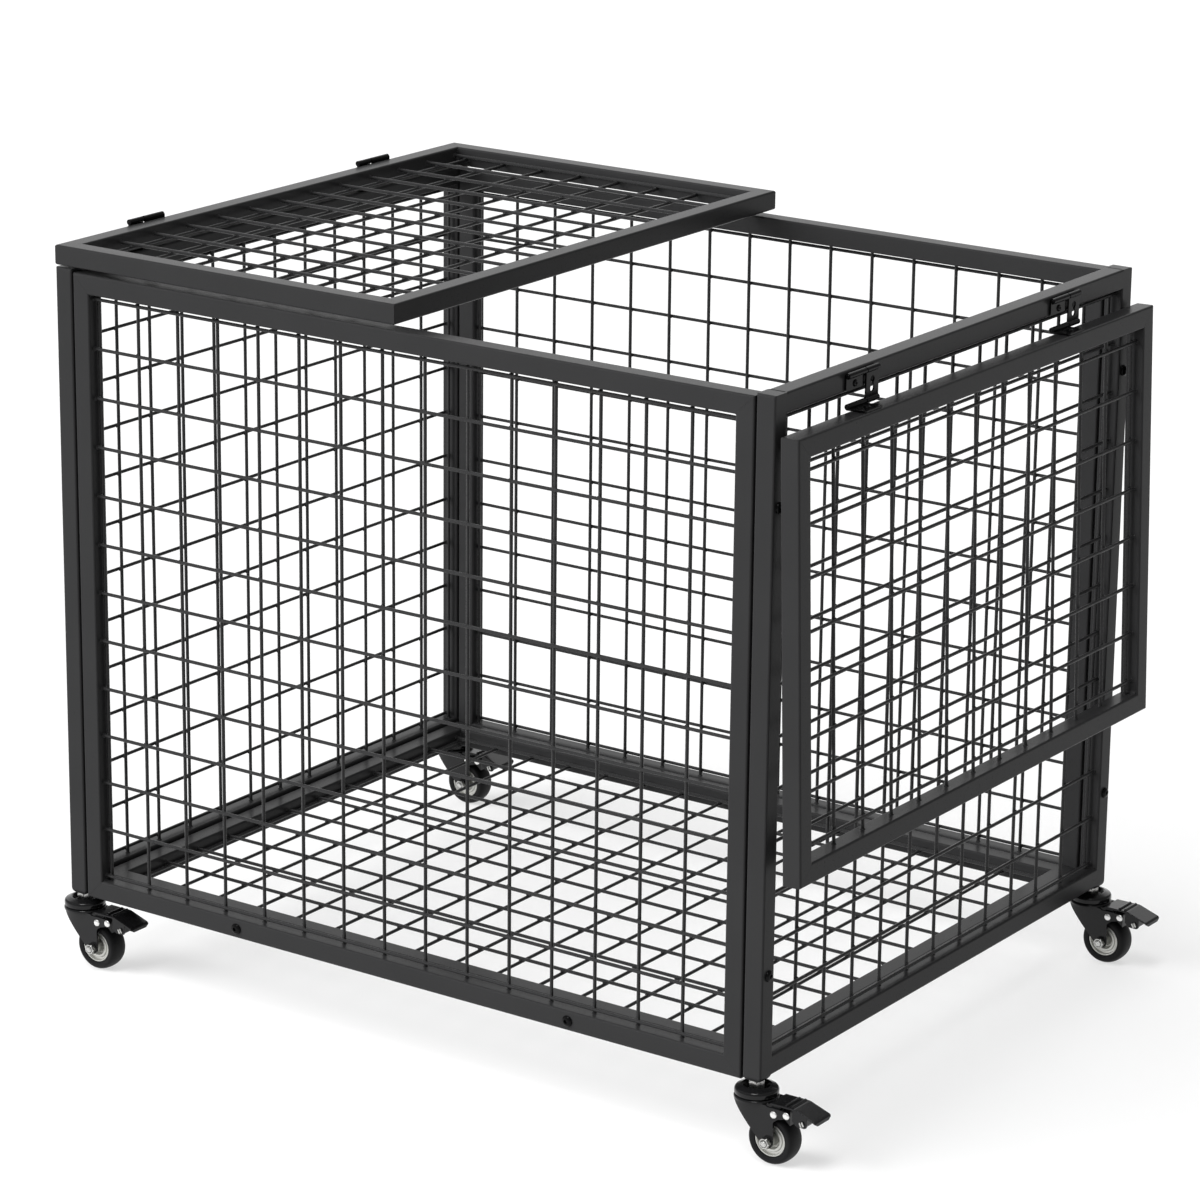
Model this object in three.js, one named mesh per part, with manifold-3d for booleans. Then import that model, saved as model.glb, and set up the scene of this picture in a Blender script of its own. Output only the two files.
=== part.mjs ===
// Ball cart: a cage of welded wire-mesh panels on four braked swivel casters. Two lids close its top.
// Each lid hangs on double-pin hinges, so that it turns over the end rail and hangs down outside it.
// Millimetres, +Z up. X runs along the cart, Y across it, and the wheels stand on z = 0.
import * as THREE from "three";
import { mergeVertices } from "three/addons/utils/BufferGeometryUtils.js";
import Module from "manifold-3d";

const wasm = await Module();
wasm.setup();

// Cage
const CAGE_LENGTH = 840;
const CAGE_DEPTH = 650;
const POST_HEIGHT = 653;
const TUBE = 20;
const TUBE_WALL = 1.2;
const TUBE_CHAMFER = 1.2;
// The gap between a post and the panels beside it, and between the floor and the panels round it.
const PANEL_GAP = 2;
// The front and back panels end this far under the post tops.
const PANEL_TOP_DROP = 3;
// The lower rail of an end panel starts this far over the post ends.
const RAIL_RISE = 3;
const POST_END_TAPER = 4;
const POST_END_WIDTH = 14;
const POST_END_PLATE = 6;

// Wire mesh
const MESH_PITCH = 50;
const WIRE_DIAMETER = 3.5;
const WIRE_LAYER_GAP = 0.3;
const WIRE_SEAT_SHARE = 0.5;

// Lids
const LID_GAP = 2;
const LID_MEETING_GAP = 4;
const HANG_LEAN_DEGREES = 1.8;

// Double-pin hinges
const HINGE_SPREAD = 370;
const HINGE_WIDTH = 52;
const HINGE_LEAF_WIDTH = 30;
const HINGE_SIDE_GAP = 1;
const HINGE_PIN_RADIUS = 1.6;
const HINGE_BORE_RADIUS = 2.1;
const HINGE_KNUCKLE_RADIUS = 2.9;
const HINGE_PLATE = 1.8;
const HINGE_SEAT_GAP = 0.3;
const HINGE_PIN_OUT = 3.3;
const HINGE_PIN_DROP = 4.5;
const HINGE_PIN_RISE = 2;
const HINGE_CORNER = 2.5;
const HINGE_SLOT_RADIUS = 3.4;
const HINGE_SLOT_WAIST_SHARE = 0.55;
const HINGE_SLOT_SPREAD = 8;
const HINGE_SLOT_MIDDLE = 14.25;
const RAIL_LEAF_LENGTH = 14.5;
const LID_LEAF_LENGTH = 20;
const RAIL_SCREW_DROP = 9;
const LID_SCREW_DROP = 12;
const SCREW_RADIUS = 2;
const SCREW_HOLE_RADIUS = 2.7;
const SCREW_HEAD_RADIUS = 3.4;
const SCREW_HEAD_TOP_RADIUS = 2.3;
const SCREW_HEAD_HEIGHT = 1.5;
const SCREW_REACH = 5;

// Bolts that hold the panels together
const BOLT_RADIUS = 3;
const BOLT_HOLE_RADIUS = 3.8;
const BOLT_HEAD_RADIUS = 5;
const BOLT_HEAD_TOP_RADIUS = 3.8;
const BOLT_HEAD_HEIGHT = 2.8;
const BOLT_HEAD_GAP = 0.3;
const BOLT_END_REACH = 4;
const FLOOR_BOLT_SPREAD = 404;
const POST_BOLT_HEIGHT = 104;

// Casters
const CASTER_HEIGHT = 77.5;
const WHEEL_RADIUS = 25;
const WHEEL_TRAIL = 21.5;
const TYRE_WIDTH = 21.5;
const TYRE_SIDE_WIDTH = 20;
const TYRE_TREAD_WIDTH = 12;
const TYRE_SHOULDER = 3.2;
const RIM_RADIUS = 16.5;
const RIM_FIT_GAP = 0.3;
const RIM_WIDTH = 18.6;
const RIM_LIP = 3.6;
const RIM_WEB = 9;
const HUB_RADIUS = 6.2;
const HUB_WIDTH = 25.6;
const HUB_BORE_RADIUS = 3.4;
const AXLE_RADIUS = 3;
const AXLE_NUT_RADIUS = 5.8;
const AXLE_NUT_LENGTH = 5;
const AXLE_THREAD_END = 1;
const AXLE_NUT_GAP = 0.3;
const FORK_PLATE = 2;
const FORK_INSIDE = 26.4;
const FORK_AXLE_HOLE_RADIUS = 3.4;
const FORK_FOOT_RADIUS = 6.4;
const FORK_NOSE_START_X = 8;
const FORK_NOSE_TURN_SHARE = 1.22;
const FORK_DISC_RADIUS = 21.5;
const FORK_DISC_EDGE = 1.2;
const FORK_DISC_THICKNESS = 3.6;
const FORK_DISC_BOTTOM = 60;
const RIVET_RADIUS = 2.2;
const RIVET_HEAD_RADIUS = 3.5;
const RIVET_HEAD_HEIGHT = 1.6;
const PIVOT_RIVET_X = 28.5;
const PIVOT_RIVET_Z = 54;
const STOP_RIVET_X = 42.3;
const STOP_RIVET_Z = 56.2;
const CUP_RADIUS = 21;
const CUP_HEIGHT = 9;
const CUP_EDGE = 1.4;
const CUP_CROWN = 2.6;
const CUP_DISH_RADIUS = 14;
const CUP_DISH_FLOOR_RADIUS = 10;
const CUP_DISH_DEPTH = 4.6;
const RACE_GAP = 0.4;
const STEM_RADIUS = 4.9;
const STEM_HOLE_RADIUS = 5.6;
const STEM_LENGTH = 28;
const STEM_HEAD_RADIUS = 8;
const STEM_HEAD_HEIGHT = 3;
const STEM_NUT_RADIUS = 8.2;
const STEM_NUT_SEAT_GAP = 0.3;

// Brake pedals
const PEDAL_WIDTH = 27;
const PEDAL_PLATE = 2;
const PEDAL_START_X = 23.5;
const PEDAL_BEND_X = 50;
const PEDAL_TIP_X = 72.5;
const PEDAL_TOP_Z = 64.2;
const PEDAL_TIP_Z = 57.6;
const PEDAL_LIP_DROP = 4.4;
const PEDAL_RIDGE_RADIUS = 1.3;
const PEDAL_RIDGE_INSET = 10;
const PEDAL_EAR_GAP = 0.4;
const PEDAL_EAR_PLATE = 1.6;
const PEDAL_EAR_RADIUS = 4;
const PEDAL_EAR_REACH = 5.5;
const PEDAL_BORE_RADIUS = 2.6;
const SHOE_WIDTH = 16;
const SHOE_START_X = 34;
const SHOE_LENGTH = 8;
const SHOE_GAP = 2.5;
// The two cheeks that are bent down from the sides of the pedal, with the lug between them.
const CHEEK_START_X = 47.6;
const CHEEK_SLOPE = 5;
const CHEEK_RISE = 4;
const LUG_START_X = 54;
const LUG_LENGTH = 9.5;
const LUG_BOTTOM_Z = 47.5;
const LUG_CORNER = 3;
const LUG_SCREW_RADIUS = 2.8;
const LUG_SCREW_HEAD = 1.8;
const LUG_SCREW_DROP = 4.2;

// Facets
const WIRE_SIDES = 4;
const ROUND_SIDES = 16;
const WHEEL_SIDES = 16;
const SMALL_SIDES = 8;
const HOLE_SIDES = 6;
const HEX_SIDES = 6;
const SQUARE_SIDES = 4;
const ARC_SEGMENTS = 3;
const NOSE_SEGMENTS = 4;

const CUT_OVERRUN = 2;
const MERGE_TOLERANCE = 1e-4;
const QUARTER_TURN = Math.PI / 2;
const HALF_TURN = Math.PI;

// Worked out from the sizes above
const POST_MIDDLE = TUBE / 2;
const SIDE_PANEL_WIDTH = CAGE_LENGTH - 2 * (TUBE + PANEL_GAP);
const SIDE_PANEL_HEIGHT = POST_HEIGHT - PANEL_TOP_DROP;
const FLOOR_LENGTH = CAGE_LENGTH - 2 * (TUBE + PANEL_GAP);
const FLOOR_DEPTH = CAGE_DEPTH - 2 * (TUBE + PANEL_GAP);
const LID_LENGTH = (CAGE_LENGTH - LID_MEETING_GAP) / 2;
const LINK_LENGTH = HINGE_PIN_DROP + LID_GAP + TUBE + HINGE_PIN_RISE;
const HINGE_PLACES = [-HINGE_SPREAD / 2, HINGE_SPREAD / 2];
const HINGE_SCREW_Y = (HINGE_LEAF_WIDTH - HINGE_WIDTH) / 2;
const FORK_OUTSIDE = FORK_INSIDE + 2 * FORK_PLATE;
const BOLT_HEIGHTS = [POST_BOLT_HEIGHT, POST_HEIGHT - POST_BOLT_HEIGHT];
const FLOOR_BOLT_PLACES = [-FLOOR_BOLT_SPREAD / 2, FLOOR_BOLT_SPREAD / 2];
const BOLT_LENGTH = TUBE + PANEL_GAP + TUBE_WALL + BOLT_END_REACH;

const blackPowder = new THREE.MeshStandardMaterial({ color: 0x2b2b2d, roughness: 0.42, metalness: 0.35 });
const blackHinge = new THREE.MeshStandardMaterial({ color: 0x1c1c1e, roughness: 0.45, metalness: 0.6 });
const blackSteel = new THREE.MeshStandardMaterial({ color: 0x141416, roughness: 0.25, metalness: 0.7 });
const blackBolt = new THREE.MeshStandardMaterial({ color: 0x202022, roughness: 0.35, metalness: 0.8 });
const zincSteel = new THREE.MeshStandardMaterial({ color: 0xc4c4c0, roughness: 0.28, metalness: 1 });
const rimSilver = new THREE.MeshStandardMaterial({ color: 0xb9b9b2, roughness: 0.35, metalness: 0.8 });
const tyreRubber = new THREE.MeshStandardMaterial({ color: 0x161617, roughness: 0.6, metalness: 0 });

// A closed three.js geometry as a solid that can be joined and cut.
function solidOf(geometry) {
  const bare = geometry.clone();
  bare.deleteAttribute("normal");
  bare.deleteAttribute("uv");
  const merged = mergeVertices(bare, MERGE_TOLERANCE);
  const corners = merged.index.array;
  const kept = [];
  for (let i = 0; i < corners.length; i += 3) {
    const [a, b, c] = corners.slice(i, i + 3);
    // A lathe's quads collapse to a line where they meet the axis.
    if (a !== b && b !== c && c !== a) kept.push(a, b, c);
  }
  const mesh = new wasm.Mesh({
    numProp: 3,
    vertProperties: merged.attributes.position.array,
    triVerts: new Uint32Array(kept),
  });
  return new wasm.Manifold(mesh);
}

function geometryOf(solid) {
  const mesh = solid.getMesh();
  const geometry = new THREE.BufferGeometry();
  geometry.setAttribute("position", new THREE.BufferAttribute(mesh.vertProperties, 3));
  geometry.setIndex(new THREE.BufferAttribute(mesh.triVerts, 1));
  const faceted = geometry.toNonIndexed();
  faceted.computeVertexNormals();
  return faceted;
}

const join = (first, ...rest) => rest.reduce((whole, piece) => whole.add(piece), first);
const cut = (first, ...rest) => rest.reduce((whole, piece) => whole.subtract(piece), first);

function box(width, depth, height, x = 0, y = 0, z = 0) {
  return solidOf(new THREE.BoxGeometry(width, depth, height).translate(x, y, z));
}

// A round bar of the given length, its middle at the given point.
function rod(axis, radius, length, sides, x = 0, y = 0, z = 0) {
  const geometry = new THREE.CylinderGeometry(radius, radius, length, sides);
  if (axis === "x") geometry.rotateZ(QUARTER_TURN);
  if (axis === "z") geometry.rotateX(QUARTER_TURN);
  return solidOf(geometry.translate(x, y, z));
}

// A profile of [radius, height] points turned about Z, or about Y. Its outer side runs from low to high.
function turned(axis, profile, sides, x = 0, y = 0, z = 0) {
  const points = profile.map(([radius, height]) => new THREE.Vector2(radius, height));
  const geometry = new THREE.LatheGeometry(points, sides);
  if (axis === "z") geometry.rotateX(QUARTER_TURN);
  return solidOf(geometry.translate(x, y, z));
}

const closed = (profile) => [...profile, profile[0]];

// A shape drawn in X and Z, drawn out along Y to both sides of the middle.
function acrossY(shape, width, y = 0) {
  const settings = { depth: width, bevelEnabled: false, curveSegments: ARC_SEGMENTS };
  const geometry = new THREE.ExtrudeGeometry(shape, settings);
  return solidOf(geometry.rotateX(QUARTER_TURN).translate(0, y + width / 2, 0));
}

function shapeOf(points) {
  return new THREE.Shape(points.map(([x, y]) => new THREE.Vector2(x, y)));
}

// The tube's section, with its long edges taken off.
function tubeSection(size, chamfer) {
  const side = size / 2;
  const flat = side - chamfer;
  if (chamfer === 0) return [[-side, -side], [side, -side], [side, side], [-side, side]];
  return [
    [-flat, -side], [flat, -side], [side, -flat], [side, flat],
    [flat, side], [-flat, side], [-side, flat], [-side, -flat],
  ];
}

// A section carried round a rectangle with mitred corners, in the XY plane.
function mitredRing(width, height, section) {
  const corners = [[-1, -1], [1, -1], [1, 1], [-1, 1]];
  const count = section.length;
  const positions = corners.flatMap(([right, up]) =>
    section.flatMap(([out, rise]) => [right * (width / 2 + out), up * (height / 2 + out), rise]),
  );
  const index = corners.flatMap((_, c) =>
    section.flatMap((__, p) => {
      const next = (c + 1) % corners.length;
      const along = (p + 1) % count;
      const [a, b] = [c * count + p, next * count + p];
      const [d, e] = [c * count + along, next * count + along];
      return [a, b, e, a, e, d];
    }),
  );
  const geometry = new THREE.BufferGeometry();
  geometry.setAttribute("position", new THREE.Float32BufferAttribute(positions, 3));
  geometry.setIndex(index);
  return solidOf(geometry);
}

function hollowFrame(width, height) {
  const [across, up] = [width - TUBE, height - TUBE];
  const outside = mitredRing(across, up, tubeSection(TUBE, TUBE_CHAMFER));
  const inside = mitredRing(across, up, tubeSection(TUBE - 2 * TUBE_WALL, 0));
  return cut(outside, inside);
}

// Places of the wires across an opening: as many as fit at the pitch, centred.
function wirePlaces(opening) {
  const spaces = Math.floor((opening - WIRE_DIAMETER) / MESH_PITCH);
  return Array.from({ length: spaces + 1 }, (_, i) => (i - spaces / 2) * MESH_PITCH);
}

// Two layers of wires over an opening centred on the origin, each end welded into the tube's wall.
function meshWires(width, height) {
  const layer = (WIRE_DIAMETER + WIRE_LAYER_GAP) / 2;
  const seats = 2 * TUBE_WALL * WIRE_SEAT_SHARE;
  const radius = WIRE_DIAMETER / 2;
  return [
    ...wirePlaces(height).map((y) => rod("x", radius, width + seats, WIRE_SIDES, 0, y, layer)),
    ...wirePlaces(width).map((x) => rod("y", radius, height + seats, WIRE_SIDES, x, 0, -layer)),
  ];
}

// A welded panel in the XY plane, its frame mitred and its middle on the origin.
function meshPanel(width, height) {
  return join(hollowFrame(width, height), ...meshWires(width - 2 * TUBE, height - 2 * TUBE));
}

// The front and back panels stand on y = 0, with the outer side towards +Z.
function sidePanel() {
  const side = (SIDE_PANEL_WIDTH - TUBE_WALL) / 2;
  const holes = [
    ...FLOOR_BOLT_PLACES.map((x) =>
      rod("z", BOLT_HOLE_RADIUS, TUBE + CUT_OVERRUN, HOLE_SIDES, x, POST_MIDDLE, 0)),
    ...BOLT_HEIGHTS.flatMap((y) => [-side, side].map((x) =>
      rod("x", BOLT_HOLE_RADIUS, TUBE_WALL + CUT_OVERRUN, HOLE_SIDES, x, y, 0))),
  ];
  const panel = meshPanel(SIDE_PANEL_WIDTH, SIDE_PANEL_HEIGHT).translate([0, SIDE_PANEL_HEIGHT / 2, 0]);
  return cut(panel, ...holes);
}

// The floor lies on its middle plane and is bolted through its two long tubes.
function floorPanel() {
  const side = (FLOOR_DEPTH - TUBE_WALL) / 2;
  const holes = FLOOR_BOLT_PLACES.flatMap((x) => [-side, side].map((y) =>
    rod("y", BOLT_HOLE_RADIUS, TUBE_WALL + CUT_OVERRUN, HOLE_SIDES, x, y, 0)));
  return cut(meshPanel(FLOOR_LENGTH, FLOOR_DEPTH), ...holes);
}

// A straight tube along Y or X with its middle at the given point.
function tubeBar(axis, length, x, y) {
  const settings = { depth: length, bevelEnabled: false };
  const geometry = new THREE.ExtrudeGeometry(shapeOf(tubeSection(TUBE, TUBE_CHAMFER)), settings);
  geometry.translate(0, 0, -length / 2);
  if (axis === "y") geometry.rotateX(QUARTER_TURN);
  if (axis === "x") geometry.rotateY(QUARTER_TURN);
  return solidOf(geometry.translate(x, y, 0));
}

// The tapered foot that is welded into the end of a post, in the panel's plane.
function postFoot(x) {
  const toCorner = Math.SQRT1_2;
  const wide = TUBE * toCorner;
  const narrow = POST_END_WIDTH * toCorner;
  const geometry = new THREE.CylinderGeometry(wide, narrow, POST_END_TAPER, SQUARE_SIDES);
  return solidOf(geometry.rotateY(QUARTER_TURN / 2).translate(x, POST_END_TAPER / 2, 0));
}

// An end panel: two posts, two rails and the mesh. It stands on y = 0, with the outer side towards +Z.
function endPanel() {
  const postX = CAGE_DEPTH / 2 - POST_MIDDLE;
  const posts = [-postX, postX];
  const railLength = CAGE_DEPTH - 2 * (TUBE - TUBE_WALL);
  const topRailY = POST_HEIGHT - TUBE / 2;
  const lowRailY = RAIL_RISE + TUBE / 2;
  const rails = [topRailY, lowRailY];
  const openingBottom = lowRailY + TUBE / 2;
  const openingTop = topRailY - TUBE / 2;
  const openingWidth = CAGE_DEPTH - 2 * TUBE;
  const shaft = POST_HEIGHT - POST_END_TAPER;
  const hollow = TUBE - 2 * TUBE_WALL;
  const hollowHeight = POST_HEIGHT - POST_END_PLATE - TUBE_WALL;
  const wires = meshWires(openingWidth, openingTop - openingBottom)
    .map((wire) => wire.translate([0, (openingTop + openingBottom) / 2, 0]));
  const screwY = POST_HEIGHT - HINGE_PIN_DROP - RAIL_SCREW_DROP;
  const solid = join(
    tubeBar("y", shaft, -postX, POST_END_TAPER + shaft / 2),
    tubeBar("x", railLength, 0, topRailY),
    tubeBar("x", railLength, 0, lowRailY),
    tubeBar("y", shaft, postX, POST_END_TAPER + shaft / 2),
    ...posts.map(postFoot),
    ...wires,
  );
  return cut(
    solid,
    ...posts.map((x) => box(hollow, hollowHeight, hollow, x, POST_END_PLATE + hollowHeight / 2, 0)),
    ...rails.map((y) => box(2 * postX, hollow, hollow, 0, y, 0)),
    ...posts.map((x) => rod("y", STEM_HOLE_RADIUS, 2 * POST_END_PLATE + CUT_OVERRUN, SMALL_SIDES, x, 0, 0)),
    ...posts.flatMap((x) => BOLT_HEIGHTS.map((y) =>
      rod("z", BOLT_HOLE_RADIUS, TUBE + CUT_OVERRUN, HOLE_SIDES, x, y, 0))),
    ...HINGE_PLACES.map((y) =>
      rod("z", SCREW_HOLE_RADIUS, TUBE_WALL + CUT_OVERRUN, HOLE_SIDES,
        y + HINGE_SCREW_Y, screwY, (TUBE - TUBE_WALL) / 2)),
  );
}

// A lid in the frame of its hinge pins, as it lies closed: the cart's middle is towards -X.
function lid() {
  const middleX = -HINGE_PIN_OUT - LID_LENGTH / 2;
  const middleZ = -HINGE_PIN_RISE - TUBE / 2;
  const panel = meshPanel(LID_LENGTH, CAGE_DEPTH).translate([middleX, 0, middleZ]);
  const holes = HINGE_PLACES.map((y) =>
    rod("x", SCREW_HOLE_RADIUS, TUBE_WALL + CUT_OVERRUN, HOLE_SIDES,
      -HINGE_PIN_OUT - TUBE_WALL / 2, y + HINGE_SCREW_Y, -LID_SCREW_DROP));
  return cut(panel, ...holes);
}

// A hinge leaf in its pin's frame: the plate hangs from the knuckle, and its screw goes in towards -X.
function hingeLeaf(length, screwDrop) {
  const back = HINGE_SEAT_GAP - HINGE_PIN_OUT;
  const face = back + HINGE_PLATE;
  const [low, high] = [-HINGE_LEAF_WIDTH / 2, HINGE_LEAF_WIDTH / 2];
  const outline = new THREE.Shape();
  outline.moveTo(low, 0);
  outline.lineTo(low, HINGE_CORNER - length);
  outline.absarc(low + HINGE_CORNER, HINGE_CORNER - length, HINGE_CORNER, HALF_TURN, 1.5 * HALF_TURN);
  outline.lineTo(high - HINGE_CORNER, -length);
  outline.absarc(high - HINGE_CORNER, HINGE_CORNER - length, HINGE_CORNER, -QUARTER_TURN, 0);
  outline.lineTo(high, 0);
  const settings = { depth: HINGE_PLATE, bevelEnabled: false, curveSegments: ARC_SEGMENTS };
  const geometry = new THREE.ExtrudeGeometry(outline, settings);
  // The outline's X and Y become the cart's Y and Z.
  geometry.rotateX(QUARTER_TURN).rotateZ(QUARTER_TURN).translate(back, 0, 0);
  const head = new THREE.CylinderGeometry(
    SCREW_HEAD_RADIUS, SCREW_HEAD_TOP_RADIUS, 2 * SCREW_HEAD_HEIGHT, SMALL_SIDES,
  ).rotateZ(QUARTER_TURN);
  const shank = SCREW_REACH + HINGE_PLATE;
  const solid = join(
    solidOf(geometry),
    rod("y", HINGE_KNUCKLE_RADIUS, HINGE_LEAF_WIDTH, SMALL_SIDES),
    solidOf(head.translate(face, 0, -screwDrop)),
    rod("x", SCREW_RADIUS, shank, HEX_SIDES, face - shank / 2, 0, -screwDrop),
  );
  const bore = rod("y", HINGE_BORE_RADIUS, HINGE_LEAF_WIDTH + CUT_OVERRUN, HEX_SIDES);
  return cut(solid, bore).translate([0, HINGE_SCREW_Y, 0]);
}

// The link of a hinge, pointing up from its lower pin: a plate with a waisted slot, and both pins.
function hingeLink() {
  const end = HINGE_WIDTH / 2;
  const start = HINGE_LEAF_WIDTH + HINGE_SIDE_GAP - end;
  const width = end - start;
  const middle = (start + end) / 2;
  const pins = [0, LINK_LENGTH].flatMap((z) => [
    rod("y", HINGE_KNUCKLE_RADIUS, width, SMALL_SIDES, 0, middle, z),
    rod("y", HINGE_PIN_RADIUS, HINGE_WIDTH, HEX_SIDES, 0, 0, z),
  ]);
  const eyes = [-1, 1].map((side) =>
    rod("x", HINGE_SLOT_RADIUS, HINGE_PLATE + CUT_OVERRUN, SMALL_SIDES,
      0, middle, HINGE_SLOT_MIDDLE + side * HINGE_SLOT_SPREAD / 2));
  const waist = box(HINGE_PLATE + CUT_OVERRUN, 2 * HINGE_SLOT_RADIUS * HINGE_SLOT_WAIST_SHARE,
    HINGE_SLOT_SPREAD, 0, middle, HINGE_SLOT_MIDDLE);
  const plate = cut(box(HINGE_PLATE, width, LINK_LENGTH, 0, middle, LINK_LENGTH / 2), ...eyes, waist);
  return join(plate, ...pins);
}

// A button-head bolt on the Z axis: the head stands on z = 0 and the shank goes down.
function bolt() {
  const profile = [
    [0, -BOLT_LENGTH], [BOLT_RADIUS, -BOLT_LENGTH], [BOLT_RADIUS, 0],
    [BOLT_HEAD_RADIUS, 0], [BOLT_HEAD_TOP_RADIUS, BOLT_HEAD_HEIGHT], [0, BOLT_HEAD_HEIGHT],
  ];
  return turned("z", profile, SMALL_SIDES).translate([0, 0, BOLT_HEAD_GAP]);
}

// Caster pieces share one frame: the stem's axis is Z, the floor is z = 0 and the wheel trails towards +X.
const CUP_BOTTOM = FORK_DISC_BOTTOM + FORK_DISC_THICKNESS + RACE_GAP;
const CUP_TOP = CUP_BOTTOM + CUP_HEIGHT;
const DISH_FLOOR = CUP_TOP - CUP_DISH_DEPTH;

function casterStem() {
  const headTop = FORK_DISC_BOTTOM - RACE_GAP;
  const nutBottom = DISH_FLOOR + RACE_GAP;
  const nutTop = CASTER_HEIGHT - STEM_NUT_SEAT_GAP;
  const profile = [
    [0, headTop - STEM_HEAD_HEIGHT], [STEM_HEAD_RADIUS, headTop - STEM_HEAD_HEIGHT],
    [STEM_HEAD_RADIUS, headTop], [STEM_RADIUS, headTop],
    [STEM_RADIUS, CASTER_HEIGHT + STEM_LENGTH], [0, CASTER_HEIGHT + STEM_LENGTH],
  ];
  const nut = rod("z", STEM_NUT_RADIUS, nutTop - nutBottom, HEX_SIDES, 0, 0, (nutTop + nutBottom) / 2);
  return join(turned("z", profile, SMALL_SIDES), nut);
}

function casterCup() {
  const profile = closed([
    [STEM_HOLE_RADIUS, CUP_BOTTOM], [CUP_RADIUS - CUP_EDGE, CUP_BOTTOM], [CUP_RADIUS, CUP_BOTTOM + CUP_EDGE],
    [CUP_RADIUS, CUP_TOP - CUP_EDGE - CUP_CROWN], [CUP_RADIUS - CUP_CROWN, CUP_TOP - CUP_EDGE],
    [CUP_DISH_RADIUS, CUP_TOP], [CUP_DISH_FLOOR_RADIUS, DISH_FLOOR], [STEM_HOLE_RADIUS, DISH_FLOOR],
  ]);
  return turned("z", profile, ROUND_SIDES);
}

// The side of the fork: from the disc down its sloping nose, round the axle, and up round the stop rivet.
function forkOutline() {
  const footX = WHEEL_TRAIL;
  const footZ = WHEEL_RADIUS;
  const seat = FORK_DISC_BOTTOM + FORK_DISC_EDGE;
  const shape = new THREE.Shape();
  shape.moveTo(FORK_DISC_RADIUS - FORK_PLATE, seat);
  shape.lineTo(-FORK_DISC_RADIUS, seat);
  shape.absarc(footX, footZ, FORK_FOOT_RADIUS, FORK_NOSE_TURN_SHARE * HALF_TURN, 2 * HALF_TURN);
  shape.lineTo(footX + FORK_FOOT_RADIUS, PIVOT_RIVET_Z - 2 * PEDAL_EAR_RADIUS);
  shape.lineTo(PIVOT_RIVET_X + PEDAL_EAR_RADIUS, PIVOT_RIVET_Z - PEDAL_EAR_RADIUS);
  shape.absarc(STOP_RIVET_X, STOP_RIVET_Z, RIVET_HEAD_RADIUS, -QUARTER_TURN, QUARTER_TURN);
  shape.lineTo(PIVOT_RIVET_X, STOP_RIVET_Z + PEDAL_EAR_RADIUS);
  shape.lineTo(FORK_DISC_RADIUS, FORK_DISC_BOTTOM);
  return shape;
}

// The fork's plan: two straight sides that meet in a long rounded nose at -X, flush with the disc.
function forkPlan(width, noseLength, endX) {
  const shape = new THREE.Shape();
  shape.moveTo(endX, -width / 2);
  shape.lineTo(endX, width / 2);
  shape.lineTo(FORK_NOSE_START_X, width / 2);
  shape.absellipse(FORK_NOSE_START_X, 0, noseLength, width / 2, QUARTER_TURN, 1.5 * HALF_TURN);
  return shape;
}

function casterFork() {
  const endX = STOP_RIVET_X + 2 * RIVET_HEAD_RADIUS;
  const curve = { bevelEnabled: false, curveSegments: NOSE_SEGMENTS };
  const noseLength = FORK_NOSE_START_X + FORK_DISC_RADIUS;
  const outerPlan = forkPlan(FORK_OUTSIDE, noseLength, endX);
  const innerPlan = forkPlan(FORK_INSIDE, noseLength - FORK_PLATE, endX + CUT_OVERRUN);
  const outerHeight = FORK_DISC_BOTTOM + FORK_DISC_EDGE;
  const outer = solidOf(new THREE.ExtrudeGeometry(outerPlan, { ...curve, depth: outerHeight }));
  const inner = solidOf(new THREE.ExtrudeGeometry(innerPlan, { ...curve, depth: outerHeight + CUT_OVERRUN }));
  const shell = cut(outer.intersect(acrossY(forkOutline(), FORK_OUTSIDE + CUT_OVERRUN)), inner);
  const discTop = FORK_DISC_BOTTOM + FORK_DISC_THICKNESS;
  const disc = turned("z", [
    [0, FORK_DISC_BOTTOM], [FORK_DISC_RADIUS, FORK_DISC_BOTTOM], [FORK_DISC_RADIUS, discTop - FORK_DISC_EDGE],
    [FORK_DISC_RADIUS - FORK_DISC_EDGE, discTop], [0, discTop],
  ], ROUND_SIDES);
  const body = cut(
    join(shell, disc),
    rod("z", STEM_HOLE_RADIUS, FORK_DISC_BOTTOM, SMALL_SIDES, 0, 0, FORK_DISC_BOTTOM),
    rod("y", FORK_AXLE_HOLE_RADIUS, FORK_OUTSIDE + CUT_OVERRUN, SMALL_SIDES, WHEEL_TRAIL, 0, WHEEL_RADIUS),
  );
  const heads = [[PIVOT_RIVET_X, PIVOT_RIVET_Z], [STOP_RIVET_X, STOP_RIVET_Z]].flatMap(([x, z]) =>
    [-1, 1].map((side) => rod("y", RIVET_HEAD_RADIUS, 2 * RIVET_HEAD_HEIGHT, SMALL_SIDES,
      x, side * FORK_OUTSIDE / 2, z)));
  const pivot = rod("y", RIVET_RADIUS, FORK_OUTSIDE, SMALL_SIDES, PIVOT_RIVET_X, 0, PIVOT_RIVET_Z);
  return join(body, pivot, ...heads);
}

function casterTyre() {
  const bore = RIM_RADIUS + RIM_FIT_GAP;
  const shoulder = WHEEL_RADIUS - TYRE_SHOULDER;
  return turned("y", closed([
    [bore, -TYRE_SIDE_WIDTH / 2], [shoulder, -TYRE_WIDTH / 2], [WHEEL_RADIUS, -TYRE_TREAD_WIDTH / 2],
    [WHEEL_RADIUS, TYRE_TREAD_WIDTH / 2], [shoulder, TYRE_WIDTH / 2], [bore, TYRE_SIDE_WIDTH / 2],
  ]), WHEEL_SIDES, WHEEL_TRAIL, 0, WHEEL_RADIUS);
}

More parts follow.
